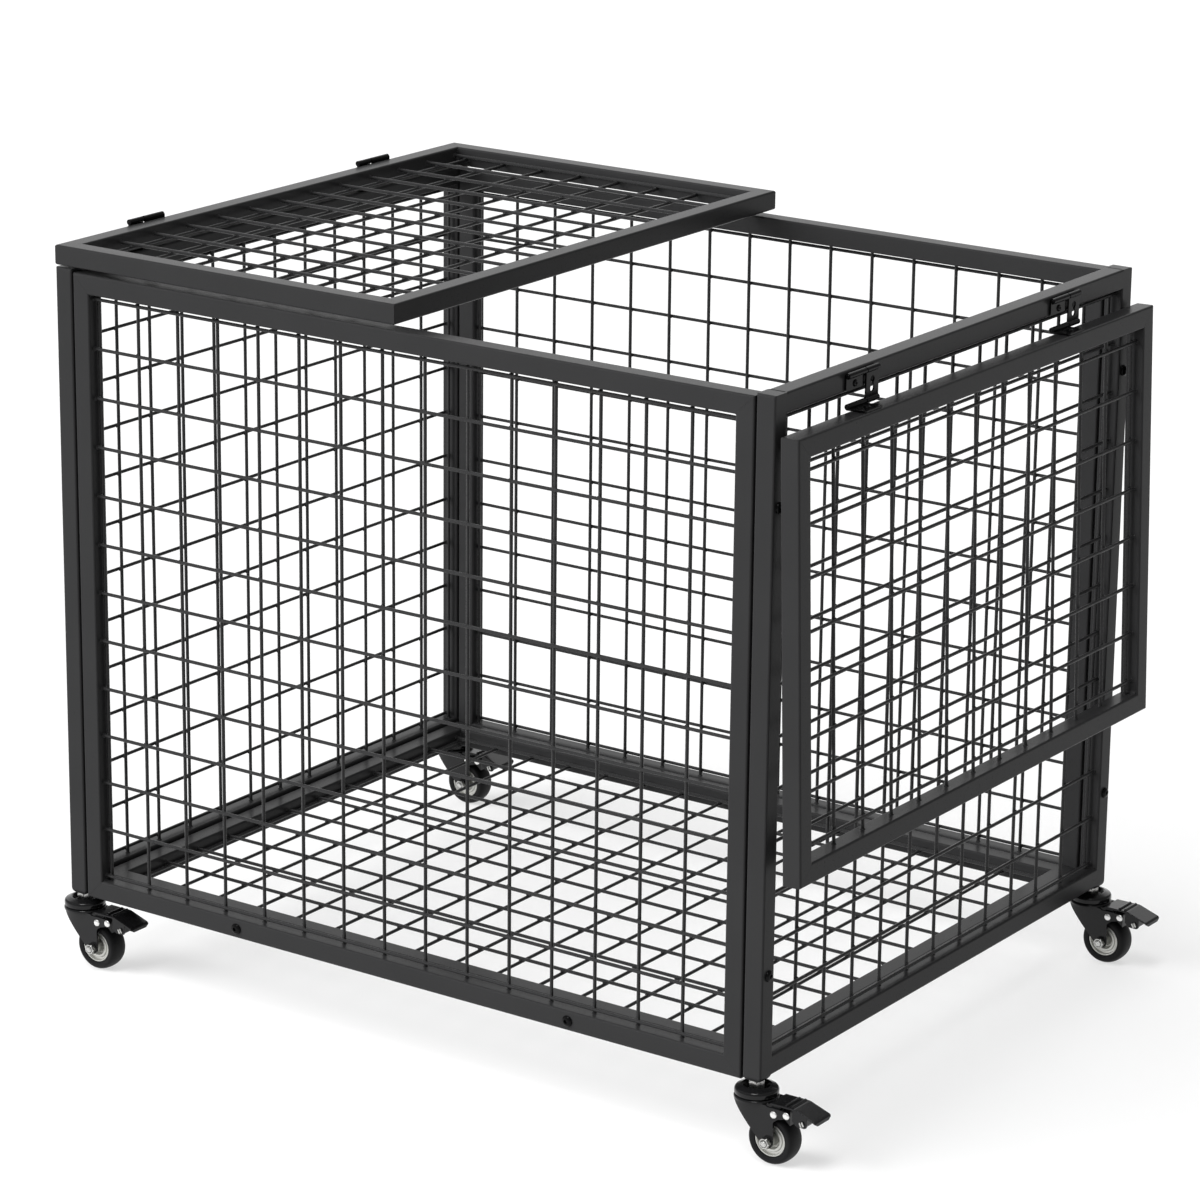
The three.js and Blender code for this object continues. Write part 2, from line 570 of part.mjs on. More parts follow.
// The rim with its hub: two lips round a dished web, and a hub that reaches the fork's plates.
function casterRim() {
  const [hub, rim, web] = [HUB_WIDTH / 2, RIM_WIDTH / 2, RIM_WEB / 2];
  const lip = RIM_RADIUS - RIM_LIP;
  return turned("y", closed([
    [HUB_BORE_RADIUS, -hub], [HUB_RADIUS, -hub], [HUB_RADIUS, -web], [lip, -rim], [RIM_RADIUS, -rim],
    [RIM_RADIUS, rim], [lip, rim], [HUB_RADIUS, web], [HUB_RADIUS, hub], [HUB_BORE_RADIUS, hub],
  ]), WHEEL_SIDES, WHEEL_TRAIL, 0, WHEEL_RADIUS);
}

// The axle is a bolt through both plates with a hexagon at each end.
function casterAxle() {
  const nutY = FORK_OUTSIDE / 2 + AXLE_NUT_GAP + AXLE_NUT_LENGTH / 2;
  const length = 2 * nutY + AXLE_NUT_LENGTH + AXLE_THREAD_END;
  return join(
    rod("y", AXLE_RADIUS, length, SMALL_SIDES, WHEEL_TRAIL, -AXLE_THREAD_END / 2, WHEEL_RADIUS),
    ...[-nutY, nutY].map((y) =>
      rod("y", AXLE_NUT_RADIUS, AXLE_NUT_LENGTH, HEX_SIDES, WHEEL_TRAIL, y, WHEEL_RADIUS)),
  );
}

// The foot plate with its lip and ribs, the two ears on the pivot rivet, the brake shoe, and the cheeks
// with the lug and the brake screw.
function casterPedal() {
  const under = PEDAL_TOP_Z - PEDAL_PLATE;
  const slope = (PEDAL_TIP_Z - PEDAL_TOP_Z) / (PEDAL_TIP_X - PEDAL_BEND_X);
  const plateMiddle = (x) => under + PEDAL_PLATE / 2 + slope * Math.max(0, x - PEDAL_BEND_X);
  const foot = shapeOf([
    [PEDAL_START_X, under], [PEDAL_BEND_X, under], [PEDAL_TIP_X - PEDAL_PLATE, PEDAL_TIP_Z - PEDAL_PLATE],
    [PEDAL_TIP_X - PEDAL_PLATE, PEDAL_TIP_Z - PEDAL_LIP_DROP], [PEDAL_TIP_X, PEDAL_TIP_Z - PEDAL_LIP_DROP],
    [PEDAL_TIP_X + PEDAL_PLATE / 2, PEDAL_TIP_Z - PEDAL_PLATE / 2], [PEDAL_TIP_X, PEDAL_TIP_Z],
    [PEDAL_BEND_X, PEDAL_TOP_Z], [PEDAL_START_X, PEDAL_TOP_Z],
  ]);
  const ridges = [PEDAL_BEND_X - PEDAL_RIDGE_INSET, PEDAL_BEND_X].map((x) =>
    rod("y", PEDAL_RIDGE_RADIUS, PEDAL_WIDTH - PEDAL_PLATE, HEX_SIDES, x, 0, PEDAL_TOP_Z));
  const ear = new THREE.Shape();
  ear.moveTo(PIVOT_RIVET_X + PEDAL_EAR_REACH, plateMiddle(0));
  ear.lineTo(PEDAL_START_X, plateMiddle(0));
  ear.absarc(PIVOT_RIVET_X, PIVOT_RIVET_Z, PEDAL_EAR_RADIUS, HALF_TURN, 2 * HALF_TURN);
  const earY = (FORK_INSIDE - PEDAL_EAR_PLATE) / 2 - PEDAL_EAR_GAP;
  const ears = [-earY, earY].map((y) => acrossY(ear, PEDAL_EAR_PLATE, y));
  const shoeRadius = WHEEL_RADIUS + SHOE_GAP;
  const angleAt = (x) => Math.acos((x - WHEEL_TRAIL) / shoeRadius);
  const shoeEnd = SHOE_START_X + SHOE_LENGTH;
  const shoe = new THREE.Shape();
  shoe.moveTo(shoeEnd, plateMiddle(shoeEnd));
  shoe.lineTo(SHOE_START_X, plateMiddle(SHOE_START_X));
  shoe.absarc(WHEEL_TRAIL, WHEEL_RADIUS, shoeRadius, angleAt(SHOE_START_X), angleAt(shoeEnd), true);
  const lugEnd = LUG_START_X + LUG_LENGTH;
  const lug = shapeOf([
    [LUG_START_X, plateMiddle(LUG_START_X)], [LUG_START_X, LUG_BOTTOM_Z],
    [lugEnd - LUG_CORNER, LUG_BOTTOM_Z], [lugEnd, LUG_BOTTOM_Z + LUG_CORNER], [lugEnd, plateMiddle(lugEnd)],
  ]);
  const cheek = shapeOf([
    [CHEEK_START_X, plateMiddle(CHEEK_START_X)], [CHEEK_START_X, LUG_BOTTOM_Z + CHEEK_RISE],
    [CHEEK_START_X + CHEEK_SLOPE, LUG_BOTTOM_Z], [lugEnd - LUG_CORNER, LUG_BOTTOM_Z],
    [lugEnd, LUG_BOTTOM_Z + LUG_CORNER], [lugEnd, plateMiddle(lugEnd)],
    [PEDAL_BEND_X, plateMiddle(PEDAL_BEND_X)],
  ]);
  const cheekY = (PEDAL_WIDTH - PEDAL_PLATE) / 2;
  const screwLength = PEDAL_WIDTH + 2 * LUG_SCREW_HEAD;
  const solid = join(
    acrossY(foot, PEDAL_WIDTH),
    ...ridges,
    ...ears,
    acrossY(shoe, SHOE_WIDTH),
    acrossY(lug, PEDAL_WIDTH - PEDAL_PLATE),
    ...[-cheekY, cheekY].map((y) => acrossY(cheek, PEDAL_PLATE, y)),
    rod("y", LUG_SCREW_RADIUS, screwLength, SMALL_SIDES,
      LUG_START_X + LUG_LENGTH / 2, 0, LUG_BOTTOM_Z + LUG_SCREW_DROP),
  );
  return cut(solid, rod("y", PEDAL_BORE_RADIUS, FORK_INSIDE, SMALL_SIDES, PIVOT_RIVET_X, 0, PIVOT_RIVET_Z));
}

function piece(name, solid, material) {
  const mesh = new THREE.Mesh(geometryOf(solid), material);
  mesh.name = name;
  return mesh;
}

function group(...children) {
  return new THREE.Group().add(...children);
}

const cart = new THREE.Group();

// Four sides stand round the cage, each turned so that its outer side faces away from the middle.
const sides = [
  { name: "front_panel", solid: sidePanel(), out: CAGE_DEPTH / 2, turn: 0 },
  { name: "right_end_panel", solid: endPanel(), out: CAGE_LENGTH / 2, turn: QUARTER_TURN },
  { name: "back_panel", solid: sidePanel(), out: CAGE_DEPTH / 2, turn: HALF_TURN },
  { name: "left_end_panel", solid: endPanel(), out: CAGE_LENGTH / 2, turn: -QUARTER_TURN },
];
for (const { name, solid, out, turn } of sides) {
  const panel = piece(name, solid, blackPowder);
  panel.rotation.x = QUARTER_TURN;
  panel.position.y = POST_MIDDLE - out;
  const side = group(panel);
  side.rotation.z = turn;
  side.position.z = CASTER_HEIGHT;
  cart.add(side);
}

const floor = piece("floor_panel", floorPanel(), blackPowder);
floor.position.z = CASTER_HEIGHT + TUBE / 2;
cart.add(floor);

// A bolt whose head lies on a face square to the cart's X or Y axis.
function boltAt(name, x, y, z, turn) {
  const made = piece(name, bolt(), blackBolt);
  made.rotation.x = QUARTER_TURN;
  const turned = group(made);
  turned.rotation.z = turn;
  turned.position.set(x, y, z);
  return turned;
}

const floorBoltZ = CASTER_HEIGHT + TUBE / 2;
["left", "right"].forEach((end, i) => {
  const x = FLOOR_BOLT_PLACES[i];
  cart.add(boltAt(`front_${end}_floor_bolt`, x, -CAGE_DEPTH / 2, floorBoltZ, 0));
  cart.add(boltAt(`back_${end}_floor_bolt`, x, CAGE_DEPTH / 2, floorBoltZ, HALF_TURN));
});

const postY = CAGE_DEPTH / 2 - POST_MIDDLE;
const ends = [
  { end: "left", out: -1, turn: -QUARTER_TURN },
  { end: "right", out: 1, turn: QUARTER_TURN },
];
const rows = [
  { row: "front", y: -postY },
  { row: "back", y: postY },
];
for (const { end, out, turn } of ends) {
  for (const { row, y } of rows) {
    ["lower", "upper"].forEach((level, i) => {
      const name = `${end}_${row}_${level}_bolt`;
      cart.add(boltAt(name, out * CAGE_LENGTH / 2, y, CASTER_HEIGHT + BOLT_HEIGHTS[i], turn));
    });
  }
}

// A lid with its two hinges. The frame is turned for each end so that +X leads outwards.
function lidSide(end, turn, linkTurn, lidTurn) {
  const rows = end === "right" ? ["front", "back"] : ["back", "front"];
  const lidFrame = group(piece(`${end}_lid`, lid(), blackPowder));
  const linkFrame = group(lidFrame);
  const side = group(linkFrame);
  HINGE_PLACES.forEach((y, i) => {
    const name = `${end}_${rows[i]}_hinge`;
    const railLeaf = piece(`${name}_rail_leaf`, hingeLeaf(RAIL_LEAF_LENGTH, RAIL_SCREW_DROP), blackHinge);
    const link = piece(`${name}_link`, hingeLink(), blackHinge);
    const lidLeaf = piece(`${name}_lid_leaf`, hingeLeaf(LID_LEAF_LENGTH, LID_SCREW_DROP), blackHinge);
    [railLeaf, link, lidLeaf].forEach((made) => made.position.setY(y));
    side.add(railLeaf);
    linkFrame.add(link);
    lidFrame.add(lidLeaf);
  });
  lidFrame.position.z = LINK_LENGTH;
  lidFrame.rotation.y = lidTurn;
  linkFrame.rotation.y = linkTurn;
  side.position.set(
    Math.cos(turn) * (CAGE_LENGTH / 2 + HINGE_PIN_OUT), 0, CASTER_HEIGHT + POST_HEIGHT - HINGE_PIN_DROP,
  );
  side.rotation.z = turn;
  return side;
}

const hangingTurn = QUARTER_TURN - THREE.MathUtils.degToRad(HANG_LEAN_DEGREES);
cart.add(lidSide("left", HALF_TURN, 0, 0));
cart.add(lidSide("right", 0, HALF_TURN, hangingTurn));

for (const { end, out } of ends) {
  for (const { row, y } of rows) {
    const name = `${end}_${row}_caster`;
    const caster = group(
      piece(`${name}_stem`, casterStem(), zincSteel),
      piece(`${name}_cup`, casterCup(), blackSteel),
      piece(`${name}_fork`, casterFork(), blackSteel),
      piece(`${name}_tyre`, casterTyre(), tyreRubber),
      piece(`${name}_rim`, casterRim(), rimSilver),
      piece(`${name}_axle`, casterAxle(), zincSteel),
      piece(`${name}_pedal`, casterPedal(), blackSteel),
    );
    caster.position.set(out * (CAGE_LENGTH / 2 - POST_MIDDLE), y, 0);
    cart.add(caster);
  }
}

// The origin is the middle of the whole cart's footprint, on the floor.
const extent = new THREE.Box3().setFromObject(cart, true);
const middle = extent.getCenter(new THREE.Vector3());
cart.position.set(-middle.x, -middle.y, -extent.min.z);

export default group(cart);
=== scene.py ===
"""Looks of the ball cart: tubes, wires, hinges and casters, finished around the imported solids."""

import logging
import math
from collections.abc import Sequence
from dataclasses import dataclass, field
from enum import Enum
from typing import Any

import bmesh
import bpy
from mathutils import Matrix, Vector

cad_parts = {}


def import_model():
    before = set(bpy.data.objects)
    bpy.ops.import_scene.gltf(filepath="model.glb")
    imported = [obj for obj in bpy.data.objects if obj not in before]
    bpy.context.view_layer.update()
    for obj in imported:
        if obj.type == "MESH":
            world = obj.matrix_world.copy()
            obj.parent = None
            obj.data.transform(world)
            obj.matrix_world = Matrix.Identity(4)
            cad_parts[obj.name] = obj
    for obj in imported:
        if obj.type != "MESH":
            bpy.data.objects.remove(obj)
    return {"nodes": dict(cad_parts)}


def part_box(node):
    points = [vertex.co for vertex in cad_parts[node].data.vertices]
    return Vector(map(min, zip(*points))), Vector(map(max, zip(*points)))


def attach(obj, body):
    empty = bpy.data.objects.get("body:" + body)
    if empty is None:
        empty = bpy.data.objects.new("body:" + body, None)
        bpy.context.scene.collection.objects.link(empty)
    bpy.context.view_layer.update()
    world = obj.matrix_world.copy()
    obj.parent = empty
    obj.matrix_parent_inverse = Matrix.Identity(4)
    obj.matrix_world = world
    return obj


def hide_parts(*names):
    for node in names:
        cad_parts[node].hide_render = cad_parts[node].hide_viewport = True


frame: dict[str, Any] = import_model()

LOG = logging.getLogger("ball_cart")

# Sizes are in millimetres and angles in degrees, unless a docstring says otherwise.
MM = 0.001
TO_METRES = Matrix.Scale(MM, 4)
SMOOTH_ANGLE = 38.0
SAME_PLACE = 0.001
ON_AXIS = 1e-6
WHITE = (1.0, 1.0, 1.0, 1.0)

# The cage's ends along X and its rows along Y, each with its sign.
ENDS = (("left", -1), ("right", 1))
ROWS = (("front", -1), ("back", 1))

Point = tuple[float, float]
Spot = tuple[float, float, float]
Ring = list[Vector]


class Slot(Enum):
    """The record's material slots."""

    POWDER = "black_powder_coat"
    BOLT = "black_bolt"
    HINGE = "black_hinge"
    STEEL = "black_steel"
    ZINC = "zinc_steel"
    RIM = "silver_rim"
    TYRE = "black_tyre"


class Axis(Enum):
    """The axis that a turned shape goes round."""

    Y = "Y"
    Z = "Z"


class Socket(Enum):
    """Kinds of input that a node tree can have."""

    GEOMETRY = "NodeSocketGeometry"
    NUMBER = "NodeSocketFloat"
    WHOLE = "NodeSocketInt"
    OBJECT = "NodeSocketObject"
    MATERIAL = "NodeSocketMaterial"


@dataclass(frozen=True)
class Finish:
    """A coating or bare surface, with its grain and its slow changes of tone."""

    name: str
    slot: Slot
    colour: tuple[float, float, float]
    other_colour: tuple[float, float, float]
    metallic: float
    roughness: float
    other_roughness: float
    specular: float
    coat: float
    grain: float
    bump_depth: float
    bump_strength: float
    patch: float = 60.0
    coat_roughness: float = 0.12
    patch_detail: float = 3.0
    grain_detail: float = 2.0
    grain_range: tuple[float, float] = (0.3, 0.7)

    def material(self) -> bpy.types.Material:
        """The finish as a material, made once.

        Returns:
            The material with this finish's name.
        """
        made = bpy.data.materials.get(self.name)
        if made is not None:
            return made
        made = bpy.data.materials.new(self.name)
        made.use_nodes = True
        tree = made.node_tree
        shader = tree.nodes["Principled BSDF"]
        shader.inputs["Metallic"].default_value = self.metallic
        shader.inputs["Specular IOR Level"].default_value = self.specular
        shader.inputs["Coat Weight"].default_value = self.coat
        shader.inputs["Coat Roughness"].default_value = self.coat_roughness
        place = tree.nodes.new("ShaderNodeTexCoord")
        patches = self.noise(tree, place, self.patch, self.patch_detail)
        grains = self.noise(tree, place, self.grain, self.grain_detail)
        tone = tree.nodes.new("ShaderNodeMix")
        tone.data_type = "RGBA"
        tree.links.new(patches.outputs["Fac"], tone.inputs[0])
        tone.inputs[6].default_value = (*self.colour, 1.0)
        tone.inputs[7].default_value = (*self.other_colour, 1.0)
        tree.links.new(tone.outputs[2], shader.inputs["Base Color"])
        rough = tree.nodes.new("ShaderNodeMapRange")
        rough.inputs["From Min"].default_value, rough.inputs["From Max"].default_value = self.grain_range
        rough.inputs["To Min"].default_value = self.roughness
        rough.inputs["To Max"].default_value = self.other_roughness
        tree.links.new(grains.outputs["Fac"], rough.inputs["Value"])
        tree.links.new(rough.outputs["Result"], shader.inputs["Roughness"])
        bump = tree.nodes.new("ShaderNodeBump")
        bump.inputs["Strength"].default_value = self.bump_strength
        bump.inputs["Distance"].default_value = self.bump_depth * MM
        tree.links.new(grains.outputs["Fac"], bump.inputs["Height"])
        tree.links.new(bump.outputs["Normal"], shader.inputs["Normal"])
        return made

    def noise(
        self, tree: bpy.types.NodeTree, place: bpy.types.Node, size: float, detail: float
    ) -> bpy.types.Node:
        """A noise pattern whose spots are about the given size.

        Args:
            tree: The material's node tree.
            place: The Texture Coordinate node.
            size: The spots' size in millimetres.
            detail: The pattern's octaves.

        Returns:
            The Noise Texture node.
        """
        noise = tree.nodes.new("ShaderNodeTexNoise")
        noise.inputs["Scale"].default_value = 1.0 / (size * MM)
        noise.inputs["Detail"].default_value = detail
        tree.links.new(place.outputs["Object"], noise.inputs["Vector"])
        return noise


POWDER_COAT = Finish(
    name="powder_coated_tube",
    slot=Slot.POWDER,
    colour=(0.023, 0.023, 0.0236),
    other_colour=(0.028, 0.028, 0.0286),
    metallic=0.0,
    roughness=0.27,
    other_roughness=0.35,
    specular=0.09,
    coat=0.0,
    grain=1.3,
    bump_depth=0.05,
    bump_strength=0.25,
)
WIRE_COAT = Finish(
    name="wire_powder_coat",
    slot=Slot.POWDER,
    colour=(0.021, 0.021, 0.0215),
    other_colour=(0.026, 0.026, 0.0265),
    metallic=0.0,
    roughness=0.24,
    other_roughness=0.34,
    specular=0.16,
    coat=0.0,
    grain=1.1,
    bump_depth=0.04,
    bump_strength=0.2,
)
BOLT_BLACK = Finish(
    name="blackened_bolt",
    slot=Slot.BOLT,
    colour=(0.002, 0.002, 0.0022),
    other_colour=(0.005, 0.005, 0.0052),
    metallic=0.0,
    roughness=0.16,
    other_roughness=0.26,
    specular=0.1,
    coat=0.0,
    grain=0.8,
    bump_depth=0.03,
    bump_strength=0.2,
    patch=6.0,
)
# The hinges' black paint, partly their own colour and partly painted shade: darker than the tubes' coat
# for the dark place the hinges sit in.
HINGE_BLACK_AND_SHADE = Finish(
    name="painted_hinge",
    slot=Slot.HINGE,
    colour=(0.002, 0.002, 0.0022),
    other_colour=(0.006, 0.006, 0.0063),
    metallic=0.0,
    roughness=0.16,
    other_roughness=0.28,
    specular=0.1,
    coat=0.0,
    grain=0.9,
    bump_depth=0.05,
    bump_strength=0.25,
    patch=12.0,
)
GLOSS_BLACK = Finish(
    name="gloss_black_paint",
    slot=Slot.STEEL,
    colour=(0.004, 0.004, 0.0045),
    other_colour=(0.008, 0.008, 0.0085),
    metallic=0.0,
    roughness=0.13,
    other_roughness=0.21,
    specular=0.26,
    coat=0.08,
    grain=2.2,
    bump_depth=0.05,
    bump_strength=0.15,
    patch=18.0,
)
ZINC_PLATE = Finish(
    name="zinc_plating",
    slot=Slot.ZINC,
    colour=(0.38, 0.38, 0.37),
    other_colour=(0.82, 0.82, 0.80),
    metallic=1.0,
    roughness=0.22,
    other_roughness=0.36,
    specular=0.5,
    coat=0.0,
    grain=0.7,
    bump_depth=0.02,
    bump_strength=0.2,
    patch=4.0,
)
BRIGHT_ZINC = Finish(
    name="bright_zinc",
    slot=Slot.ZINC,
    colour=(0.86, 0.86, 0.85),
    other_colour=(0.94, 0.94, 0.93),
    metallic=0.85,
    roughness=0.26,
    other_roughness=0.38,
    specular=0.5,
    coat=0.0,
    grain=0.7,
    bump_depth=0.02,
    bump_strength=0.15,
    patch=4.0,
)
RIM_SILVER = Finish(
    name="silver_wheel_paint",
    slot=Slot.RIM,
    colour=(0.52, 0.52, 0.49),
    other_colour=(0.66, 0.66, 0.63),
    metallic=0.75,
    roughness=0.28,
    other_roughness=0.40,
    specular=0.5,
    coat=0.0,
    grain=0.9,
    bump_depth=0.03,
    bump_strength=0.2,
    patch=8.0,
)
TYRE_RUBBER = Finish(
    name="tyre_rubber",
    slot=Slot.TYRE,
    colour=(0.005, 0.005, 0.0054),
    other_colour=(0.009, 0.009, 0.0094),
    metallic=0.0,
    roughness=0.42,
    other_roughness=0.58,
    specular=0.16,
    coat=0.0,
    grain=0.9,
    bump_depth=0.06,
    bump_strength=0.3,
    patch=14.0,
)


def turn(degrees: float, axis: str) -> Matrix:
    """A rotation about one axis."""
    return Matrix.Rotation(math.radians(degrees), 4, axis)


def shift(x: float = 0.0, y: float = 0.0, z: float = 0.0) -> Matrix:
    """A move by the given amounts."""
    return Matrix.Translation((x, y, z))


def upright() -> Matrix:
    """The turn that stands a plate drawn on XY upright, facing +X."""
    return turn(90, "Z") @ turn(90, "X")


def around(sides: int) -> list[float]:
    """Angles spread evenly over a full turn, in radians."""
    return [2 * math.pi * i / sides for i in range(sides)]


def arc(centre: Point, radius: float, start: float, end: float, steps: int) -> list[Point]:
    """Points along an arc between two angles in degrees, one more than its steps."""
    angles = [math.radians(start + (end - start) * i / steps) for i in range(steps + 1)]
    return [(centre[0] + radius * math.cos(a), centre[1] + radius * math.sin(a)) for a in angles]


def rounded(
    points: Sequence[Point], radii: Sequence[float], steps: int = 4, closed: bool = True
) -> list[Point]:
    """An outline with each corner rounded.

    Args:
        points: The corners in order.
        radii: A radius for each corner, 0 for a sharp one.
        steps: The spans of each rounded corner.
        closed: Whether the last point joins the first.

    Returns:
        The rounded outline.
    """
    result: list[Point] = []
    count = len(points)
    for i, (here, radius) in enumerate(zip(points, radii)):
        at_end = not closed and i in (0, count - 1)
        if radius <= 0 or at_end:
            result.append(here)
            continue
        corner = Vector(here)
        before = (Vector(points[i - 1]) - corner).normalized()
        after = (Vector(points[(i + 1) % count]) - corner).normalized()
        half = before.angle(after) / 2
        reach = radius / math.tan(half)
        middle = corner + (before + after).normalized() * (radius / math.sin(half))
        first = corner + before * reach - middle
        last = corner + after * reach - middle
        for step in range(steps + 1):
            share = step / steps
            way = first.lerp(last, share).normalized() * radius
            result.append(tuple(middle + way))
    return result


def hexagon_reach(angle: float, radius: float) -> float:
    """How far a hexagon's edge is from its middle.

    Args:
        angle: The direction in radians.
        radius: The distance to its corners.

    Returns:
        The distance to the edge.
    """
    sixth = math.pi / 3
    across = (angle % sixth) - sixth / 2
    return radius * math.cos(sixth / 2) / math.cos(across)


def linked(name: str, data: bpy.types.ID) -> bpy.types.Object:
    """A new object in the scene.

    Args:
        name: Its name.
        data: Its mesh, lamp or camera.

    Returns:
        The object.
    """
    made = bpy.data.objects.new(name, data)
    bpy.context.scene.collection.objects.link(made)
    return made


def laid(ring: Ring, axis: Axis, middle: Spot) -> Ring:
    """A ring drawn round Z, laid on its axis.

    Args:
        ring: The ring's points.
        axis: The axis that it goes round.
        middle: Where the axis has its zero.

    Returns:
        The ring's points at their place.
    """
    if axis is Axis.Y:
        ring = [Vector((p.x, p.z, p.y)) for p in ring]
    return [p + Vector(middle) for p in ring]


@dataclass
class Maker:
    """Collects the closed shells of one piece, in millimetres, and turns them into a mesh."""

    mesh: bmesh.types.BMesh = field(default_factory=bmesh.new)
    hexagon_sides: int = 48
    hexagon_face_share: float = 0.97

    def skin(self, rings: Sequence[Ring], looped: bool = False) -> None:
        """Joins rings of points into a closed shell.

        Args:
            rings: Rings with as many points each, or a single point for a pole.
            looped: Whether the last ring joins the first. The ends are capped if not.
        """
        rows = [[self.mesh.verts.new(point) for point in ring] for ring in rings]
        spans = list(zip(rows, rows[1:]))
        if looped:
            spans.append((rows[-1], rows[0]))
        for low, high in spans:
            count = max(len(low), len(high))
            for i in range(count):
                j = (i + 1) % count
                if len(low) == 1:
                    self.mesh.faces.new((low[0], high[j], high[i]))
                elif len(high) == 1:
                    self.mesh.faces.new((low[i], low[j], high[0]))
                else:
                    self.mesh.faces.new((low[i], low[j], high[j], high[i]))
        if looped:
            return
        for row in (rows[0], rows[-1]):
            if len(row) > 2:
                self.mesh.faces.new(row)

    def turned(
        self,
        profile: Sequence[Point],
        axis: Axis,
        middle: Spot = (0, 0, 0),
        sides: int = 48,
        looped: bool = False,
    ) -> None:
        """A profile of (radius, height) points turned about an axis.

        Args:
            profile: The points, from one end of the axis to the other.
            axis: The axis it turns about.
            middle: Where its zero lies.
            sides: How many sides it has.
            looped: Whether the profile closes on itself, as in a ring.
        """
        rings: list[Ring] = []
        for radius, height in profile:
            angles = [0.0] if radius < ON_AXIS else around(sides)
            ring = [Vector((radius * math.cos(a), radius * math.sin(a), height)) for a in angles]
            rings.append(laid(ring, axis, middle))
        self.skin(rings, looped)

    def hexagonal(
        self,
        radius: float,
        low: float,
        high: float,
        chamfer: float,
        axis: Axis,
        middle: Spot = (0, 0, 0),
        bore: float = 0.0,
    ) -> None:
        """A hexagonal nut or bolt head with its corners chamfered at both ends.

        Args:
            radius: The distance to its corners.
            low: Where it starts on the axis.
            high: Where it ends.
            chamfer: How deep the corners are taken off.
            axis: The axis it lies on.
            middle: Where its zero lies.
            bore: The radius of the hole through it, countersunk at both ends, or 0 for none.
        """
        face = radius * math.cos(math.pi / 6) * self.hexagon_face_share
        levels = [(low, face), (low + chamfer, radius), (high - chamfer, radius), (high, face)]
        if bore > 0:
            levels += [(high, bore + chamfer), (high - chamfer, bore)]
            levels += [(low + chamfer, bore), (low, bore + chamfer)]
        rings: list[Ring] = []
        for height, limit in levels:
            ring: Ring = []
            for angle in around(self.hexagon_sides):
                reach = min(hexagon_reach(angle, radius), limit)
                ring.append(Vector((reach * math.cos(angle), reach * math.sin(angle), height)))
            rings.append(laid(ring, axis, middle))
        self.skin(rings, looped=bore > 0)

    def plate(
        self,
        outline: Sequence[Point],
        depth: float,
        place: Matrix = Matrix(),
        holes: Sequence[Sequence[Point]] = (),
    ) -> None:
        """A flat plate with any outline, its middle plane on XY before it is placed.

        Args:
            outline: The outline's points.
            depth: The plate's thickness.
            place: Where it goes.
            holes: Outlines of the holes through it.
        """
        top_edges: list[bmesh.types.BMEdge] = []
        low_edges: list[bmesh.types.BMEdge] = []
        top_rows: list[list[bmesh.types.BMVert]] = []
        low_rows: list[list[bmesh.types.BMVert]] = []
        for loop in (outline, *holes):
            top = [self.mesh.verts.new(place @ Vector((x, y, depth / 2))) for x, y in loop]
            low = [self.mesh.verts.new(place @ Vector((x, y, -depth / 2))) for x, y in loop]
            top_rows.append(top)
            low_rows.append(low)
            for i in range(len(loop)):
                j = (i + 1) % len(loop)
                self.mesh.faces.new((low[i], low[j], top[j], top[i]))
                top_edges.append(self.mesh.edges.get((top[i], top[j])))
                low_edges.append(self.mesh.edges.get((low[i], low[j])))
        if not holes:
            self.mesh.faces.new(top_rows[0])
            self.mesh.faces.new(low_rows[0])
            return
        bmesh.ops.triangle_fill(self.mesh, use_beauty=True, use_dissolve=False, edges=top_edges)
        bmesh.ops.triangle_fill(self.mesh, use_beauty=True, use_dissolve=False, edges=low_edges)

    def side_plate(self, outline: Sequence[Point], width: float, y: float = 0.0) -> None:
        """A plate whose outline is drawn in X and Z, centred on a place along Y."""
        self.plate(outline, width, shift(y=y) @ turn(90, "X"))

    def finish(
        self,
        name: str,
        bevel: float = 0.0,
        bevel_steps: int = 2,
        bevel_angle: float = 35.0,
        smooth_angle: float = SMOOTH_ANGLE,
        place: Matrix = Matrix(),
    ) -> bpy.types.Object:
        """Turns the shells into an object with rounded edges and even shading.

        Args:
            name: The object's name.
            bevel: The width of the rounding on its edges, in millimetres.
            bevel_steps: The spans of that rounding.
            bevel_angle: Edges sharper than this are rounded, in degrees.
            smooth_angle: Edges sharper than this stay crisp in the shading.
            place: Where it goes, in millimetres.

        Returns:
            The object, in metres, its place in its mesh.
        """
        bmesh.ops.recalc_face_normals(self.mesh, faces=self.mesh.faces)
        for face in self.mesh.faces:
            face.smooth = True
        data = bpy.data.meshes.new(name)
        self.mesh.to_mesh(data)
        self.mesh.free()
        made = linked(name, data)
        if bevel > 0:
            rounding = made.modifiers.new("Rounded edges", "BEVEL")
            rounding.width = bevel
            rounding.segments = bevel_steps
            rounding.limit_method = "ANGLE"
            rounding.angle_limit = math.radians(bevel_angle)
            rounding.use_clamp_overlap = True
        settle(made)
        made.data.set_sharp_from_angle(angle=math.radians(smooth_angle))
        made.modifiers.new("Flat faces stay flat", "WEIGHTED_NORMAL").keep_sharp = True
        settle(made)
        made.data.transform(TO_METRES @ place)
        return made


def settle(made: bpy.types.Object) -> None:
    """Bakes an object's modifiers into its mesh.

    Args:
        made: The object.
    """
    bpy.context.view_layer.update()
    graph = bpy.context.evaluated_depsgraph_get()
    shown = made.evaluated_get(graph)
    baked = bpy.data.meshes.new_from_object(shown, preserve_all_data_layers=True, depsgraph=graph)
    made.modifiers.clear()
    old = made.data
    made.data = baked
    baked.name = made.name
    bpy.data.meshes.remove(old)


